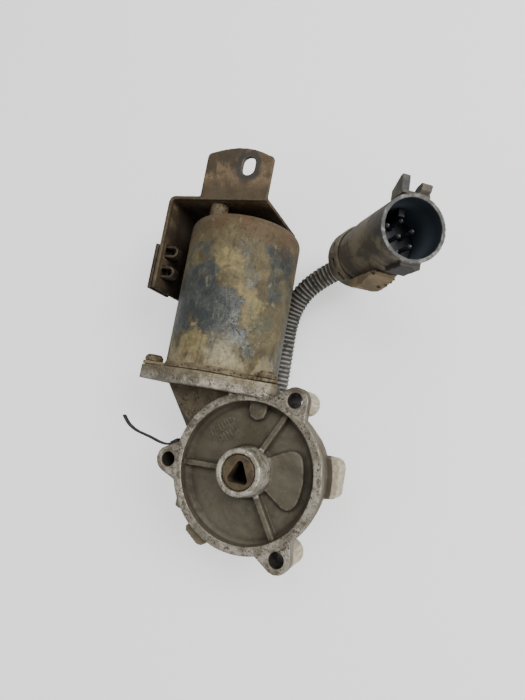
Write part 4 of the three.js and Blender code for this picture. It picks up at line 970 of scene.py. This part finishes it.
class GEARMOTOR_OT_can(Builder, bpy.types.Operator):
    """Builds the drawn motor can and the lip that its screws hold"""
    bl_idname = "gearmotor.can"
    bl_label = "Motor can"

    def execute(self, context):
        sizes = settings().sizes
        lip = CAN_BASE + 3 * MM
        start = lip - 1 * MM
        outer, wall, fillet = sizes.can_radius, sizes.can_wall, sizes.can_shoulder
        shoulder = (outer - fillet, CAN_END - fillet)
        profile = [(outer - wall, start), (outer, start), (outer, CAN_END - fillet)]
        profile += arc(shoulder, fillet, 0, 90, 12)[1:] + [(0, CAN_END)]
        profile += [(0, CAN_END - wall), (outer - fillet, CAN_END - wall)]
        profile += arc(shoulder, fillet - wall, 90, 0, 8)[1:]
        profile += [(outer - wall, start)]
        shell = turned(filled(profile, 1.2 * MM), CAN_AXIS, (0, 1, 0))
        new_piece("can_shell", shell, "motor_can", can_finish())
        base = cad_copy("motor_can")
        cut = bmesh.ops.bisect_plane(base, geom=base.verts[:] + base.edges[:] + base.faces[:],
                                     plane_co=(0, lip, 0), plane_no=(0, 1, 0), clear_outer=True)
        edges = [piece for piece in cut["geom_cut"] if isinstance(piece, bmesh.types.BMEdge)]
        bmesh.ops.holes_fill(base, edges=edges)
        mesh = resurfaced(base, 0.35 * MM, smooth=3)
        true_up(mesh, CAN_AXIS, (0, 1, 0), [outer, outer - wall])
        new_piece("can_lip", mesh, "motor_can", flange_finish())
        return {"FINISHED"}


class GEARMOTOR_OT_case(Builder, bpy.types.Operator):
    """Gives the gear case and its rear cover their cast skin"""
    bl_idname = "gearmotor.case"
    bl_label = "Gear case"

    def execute(self, context):
        mesh = resurfaced(cad_copy("gear_case"), 0.45 * MM, smooth=3, most=190_000)
        true_up(mesh, (0, 0, 0), (0, 0, 1), [
            HUB_RADIUS, HUB_BORE, CHAMBER_RADIUS, CAVITY_RADIUS, WALL_RADIUS, RIM_RADIUS])
        new_piece("cast_case", mesh, "gear_case", alloy_finish())
        cover = resurfaced(cad_copy("rear_cover"), 0.5 * MM, smooth=3, most=90_000)
        new_piece("pressed_cover", cover, "rear_cover", FINISHES["cover_metal"]())
        return {"FINISHED"}


class GEARMOTOR_OT_marks(Builder, bpy.types.Operator):
    """Adds the worn raised strokes on the cavity floor, which form no letters"""
    bl_idname = "gearmotor.marks"
    bl_label = "Cast marks"

    def execute(self, context):
        shape = bmesh.new()
        middle = Vector((-15.4 * MM, 16.4 * MM, CAVITY_FLOOR))
        block = Matrix.Translation(middle) @ Matrix.Rotation(math.radians(41), 4, "Z")
        strokes = [(-6.6 + 1.6 * i, 2.5, 0.5, 4.2 - 0.7 * (i % 3)) for i in range(9)]
        strokes += [(-5.0 + 1.7 * i, -2.6, 0.5, 4.2 - 0.6 * (i % 2)) for i in range(7)]
        strokes += [(-0.6, 0.2, 6.4, 0.5), (3.6, 3.6, 4.4, 0.5), (2.8, -3.6, 4.6, 0.5)]
        for x, y, width, length in strokes:
            place = block @ Matrix.Translation(Vector((x, y, 0)) * MM)
            size = Matrix.Diagonal((width * MM, length * MM, 0.9 * MM, 1))
            bmesh.ops.create_cube(shape, size=1.0, matrix=place @ size)
        bmesh.ops.bevel(shape, geom=shape.edges[:], offset=0.1 * MM, offset_type="OFFSET", segments=2,
                        profile=0.5, affect="EDGES", material=-1)
        new_piece("cast_strokes", shape, "gear_case", alloy_finish())
        return {"FINISHED"}


class GEARMOTOR_OT_sleeve(Builder, bpy.types.Operator):
    """Builds the rusty output sleeve with its three-sided socket"""
    bl_idname = "gearmotor.sleeve"
    bl_label = "Output sleeve"

    def execute(self, context):
        mesh = resurfaced(cad_copy("output_sleeve"), 0.22 * MM, smooth=3, most=80_000)
        true_up(mesh, (0, 0, 0), (0, 0, 1), [SLEEVE_RADIUS, SLEEVE_SHOULDER], 0.08 * MM)
        new_piece("socket_sleeve", mesh, "output_sleeve", sleeve_finish())
        return {"FINISHED"}


class GEARMOTOR_OT_bracket(Builder, bpy.types.Operator):
    """Builds the stamped bracket and the small clip plate on its side"""
    bl_idname = "gearmotor.bracket"
    bl_label = "Bracket"

    def execute(self, context):
        mesh = resurfaced(cad_copy("can_bracket"), 0.4 * MM, smooth=4, most=150_000)
        new_piece("stamped_bracket", mesh, "can_bracket", bracket_finish())
        mesh = resurfaced(cad_copy("clip_plate"), 0.22 * MM, smooth=3, most=60_000)
        new_piece("loop_plate", mesh, "clip_plate", FINISHES["rusty_steel"]())
        return {"FINISHED"}


class GEARMOTOR_OT_fasteners(Builder, bpy.types.Operator):
    """Rounds the edges of the screws, nuts, studs and the grommet"""
    bl_idname = "gearmotor.fasteners"
    bl_label = "Fasteners"

    def execute(self, context):
        names = ["flange_screw_1", "flange_screw_2", "bracket_post_1", "bracket_post_2", "bracket_nut_1",
                 "bracket_nut_2", "harness_grommet", *(f"cover_screw_{i}" for i in range(1, 5))]
        for node in names:
            mesh = resurfaced(cad_copy(node), 0.2 * MM, smooth=2, most=30_000)
            new_piece("worn_" + node, mesh, node, FINISHES[SLOT_OF[node]]())
        return {"FINISHED"}


class GEARMOTOR_OT_tie(Builder, bpy.types.Operator):
    """Builds the flat cable tie with its loose tail"""
    bl_idname = "gearmotor.tie"
    bl_label = "Cable tie"

    def execute(self, context):
        mesh = resurfaced(cad_copy("cable_tie"), 0.16 * MM, smooth=3, most=60_000)
        new_piece("nylon_tie", mesh, "cable_tie", FINISHES["black_rubber"]())
        return {"FINISHED"}


def dress(node, material=None):
    """Gives a CAD node that stays in sight, or inside, its procedural finish."""
    piece = NODES[node]
    piece.data.materials.clear()
    piece.data.materials.append(material or FINISHES[SLOT_OF[node]]())


class GEARMOTOR_OT_inside(Builder, bpy.types.Operator):
    """Gives the gears, armature, magnets, brushes and sensor their finishes"""
    bl_idname = "gearmotor.inside"
    bl_label = "Inner pieces"

    def execute(self, context):
        for node, piece in NODES.items():
            if not piece.hide_render and node not in PIN_NODES:
                dress(node)
        return {"FINISHED"}


class GEARMOTOR_OT_stage(Builder, bpy.types.Operator):
    """Lays the pale floor and hangs the soft studio lights"""
    bl_idname = "gearmotor.stage"
    bl_label = "Stage"

    def execute(self, context):
        shape = bmesh.new()
        bmesh.ops.create_grid(shape, x_segments=1, y_segments=1, size=6.0)
        mesh = bpy.data.meshes.new("floor")
        shape.to_mesh(mesh)
        shape.free()
        floor = bpy.data.objects.new("floor", mesh)
        floor.location.z = -0.2 * MM
        paper = finish("studio_floor", lambda lay: (
            settings().colours.floor[:], 0.9, lay.noise(lay.place(), 40.0)), bump=0.0)
        lay, shader = Tree(paper.node_tree), paper.node_tree.nodes["Principled BSDF"]
        seen = lay.node("ShaderNodeLightPath", {}).outputs["Is Camera Ray"]
        shader.inputs["Emission Color"].default_value = (1, 1, 1, 1)
        lay.feed(shader.inputs["Emission Strength"], lay.both(seen, FLOOR_GLOW))
        mesh.materials.append(paper)
        context.scene.collection.objects.link(floor)
        world = bpy.data.worlds.new("studio")
        world.use_nodes = True
        sky = world.node_tree.nodes["Background"].inputs
        sky["Color"].default_value = (1, 1, 1, 1)
        sky["Strength"].default_value = DAYLIGHT
        context.scene.world = world
        for name, place, size, power in LIGHTS:
            light = bpy.data.objects.new(name, bpy.data.lights.new(name, "AREA"))
            light.data.size = size
            light.data.energy = power
            light.location = place
            light.rotation_euler = (Vector(place) - LIGHTS_AIM).to_track_quat("Z", "Y").to_euler()
            context.scene.collection.objects.link(light)
        return {"FINISHED"}


class GEARMOTOR_PT_panel(bpy.types.Panel):
    """Lists the sizes, colours and building steps"""
    bl_idname = "GEARMOTOR_PT_panel"
    bl_label = "Gearmotor"
    bl_space_type = "VIEW_3D"
    bl_region_type = "UI"
    bl_category = "Gearmotor"

    def draw(self, context):
        layout = self.layout
        for group in (settings().sizes, settings().colours):
            for name in group.__annotations__:
                layout.prop(group, name)
        for operator in STEPS:
            layout.operator(operator.bl_idname)


STEPS = (GEARMOTOR_OT_camera, GEARMOTOR_OT_connector, GEARMOTOR_OT_conduit, GEARMOTOR_OT_can,
         GEARMOTOR_OT_case, GEARMOTOR_OT_marks, GEARMOTOR_OT_sleeve, GEARMOTOR_OT_bracket,
         GEARMOTOR_OT_fasteners, GEARMOTOR_OT_tie, GEARMOTOR_OT_inside, GEARMOTOR_OT_stage)
CLASSES = (GearmotorSizes, GearmotorColours, GearmotorSettings, *STEPS, GEARMOTOR_PT_panel)


def register():
    for each in CLASSES:
        bpy.utils.register_class(each)
    bpy.types.Scene.gearmotor = PointerProperty(type=GearmotorSettings)


def unregister():
    del bpy.types.Scene.gearmotor
    for each in reversed(CLASSES):
        bpy.utils.unregister_class(each)


def main():
    """Registers the add-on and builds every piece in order."""
    register()
    for operator in STEPS:
        group, name = operator.bl_idname.split(".")
        getattr(getattr(bpy.ops, group), name)()


if __name__ == "__main__":
    main()
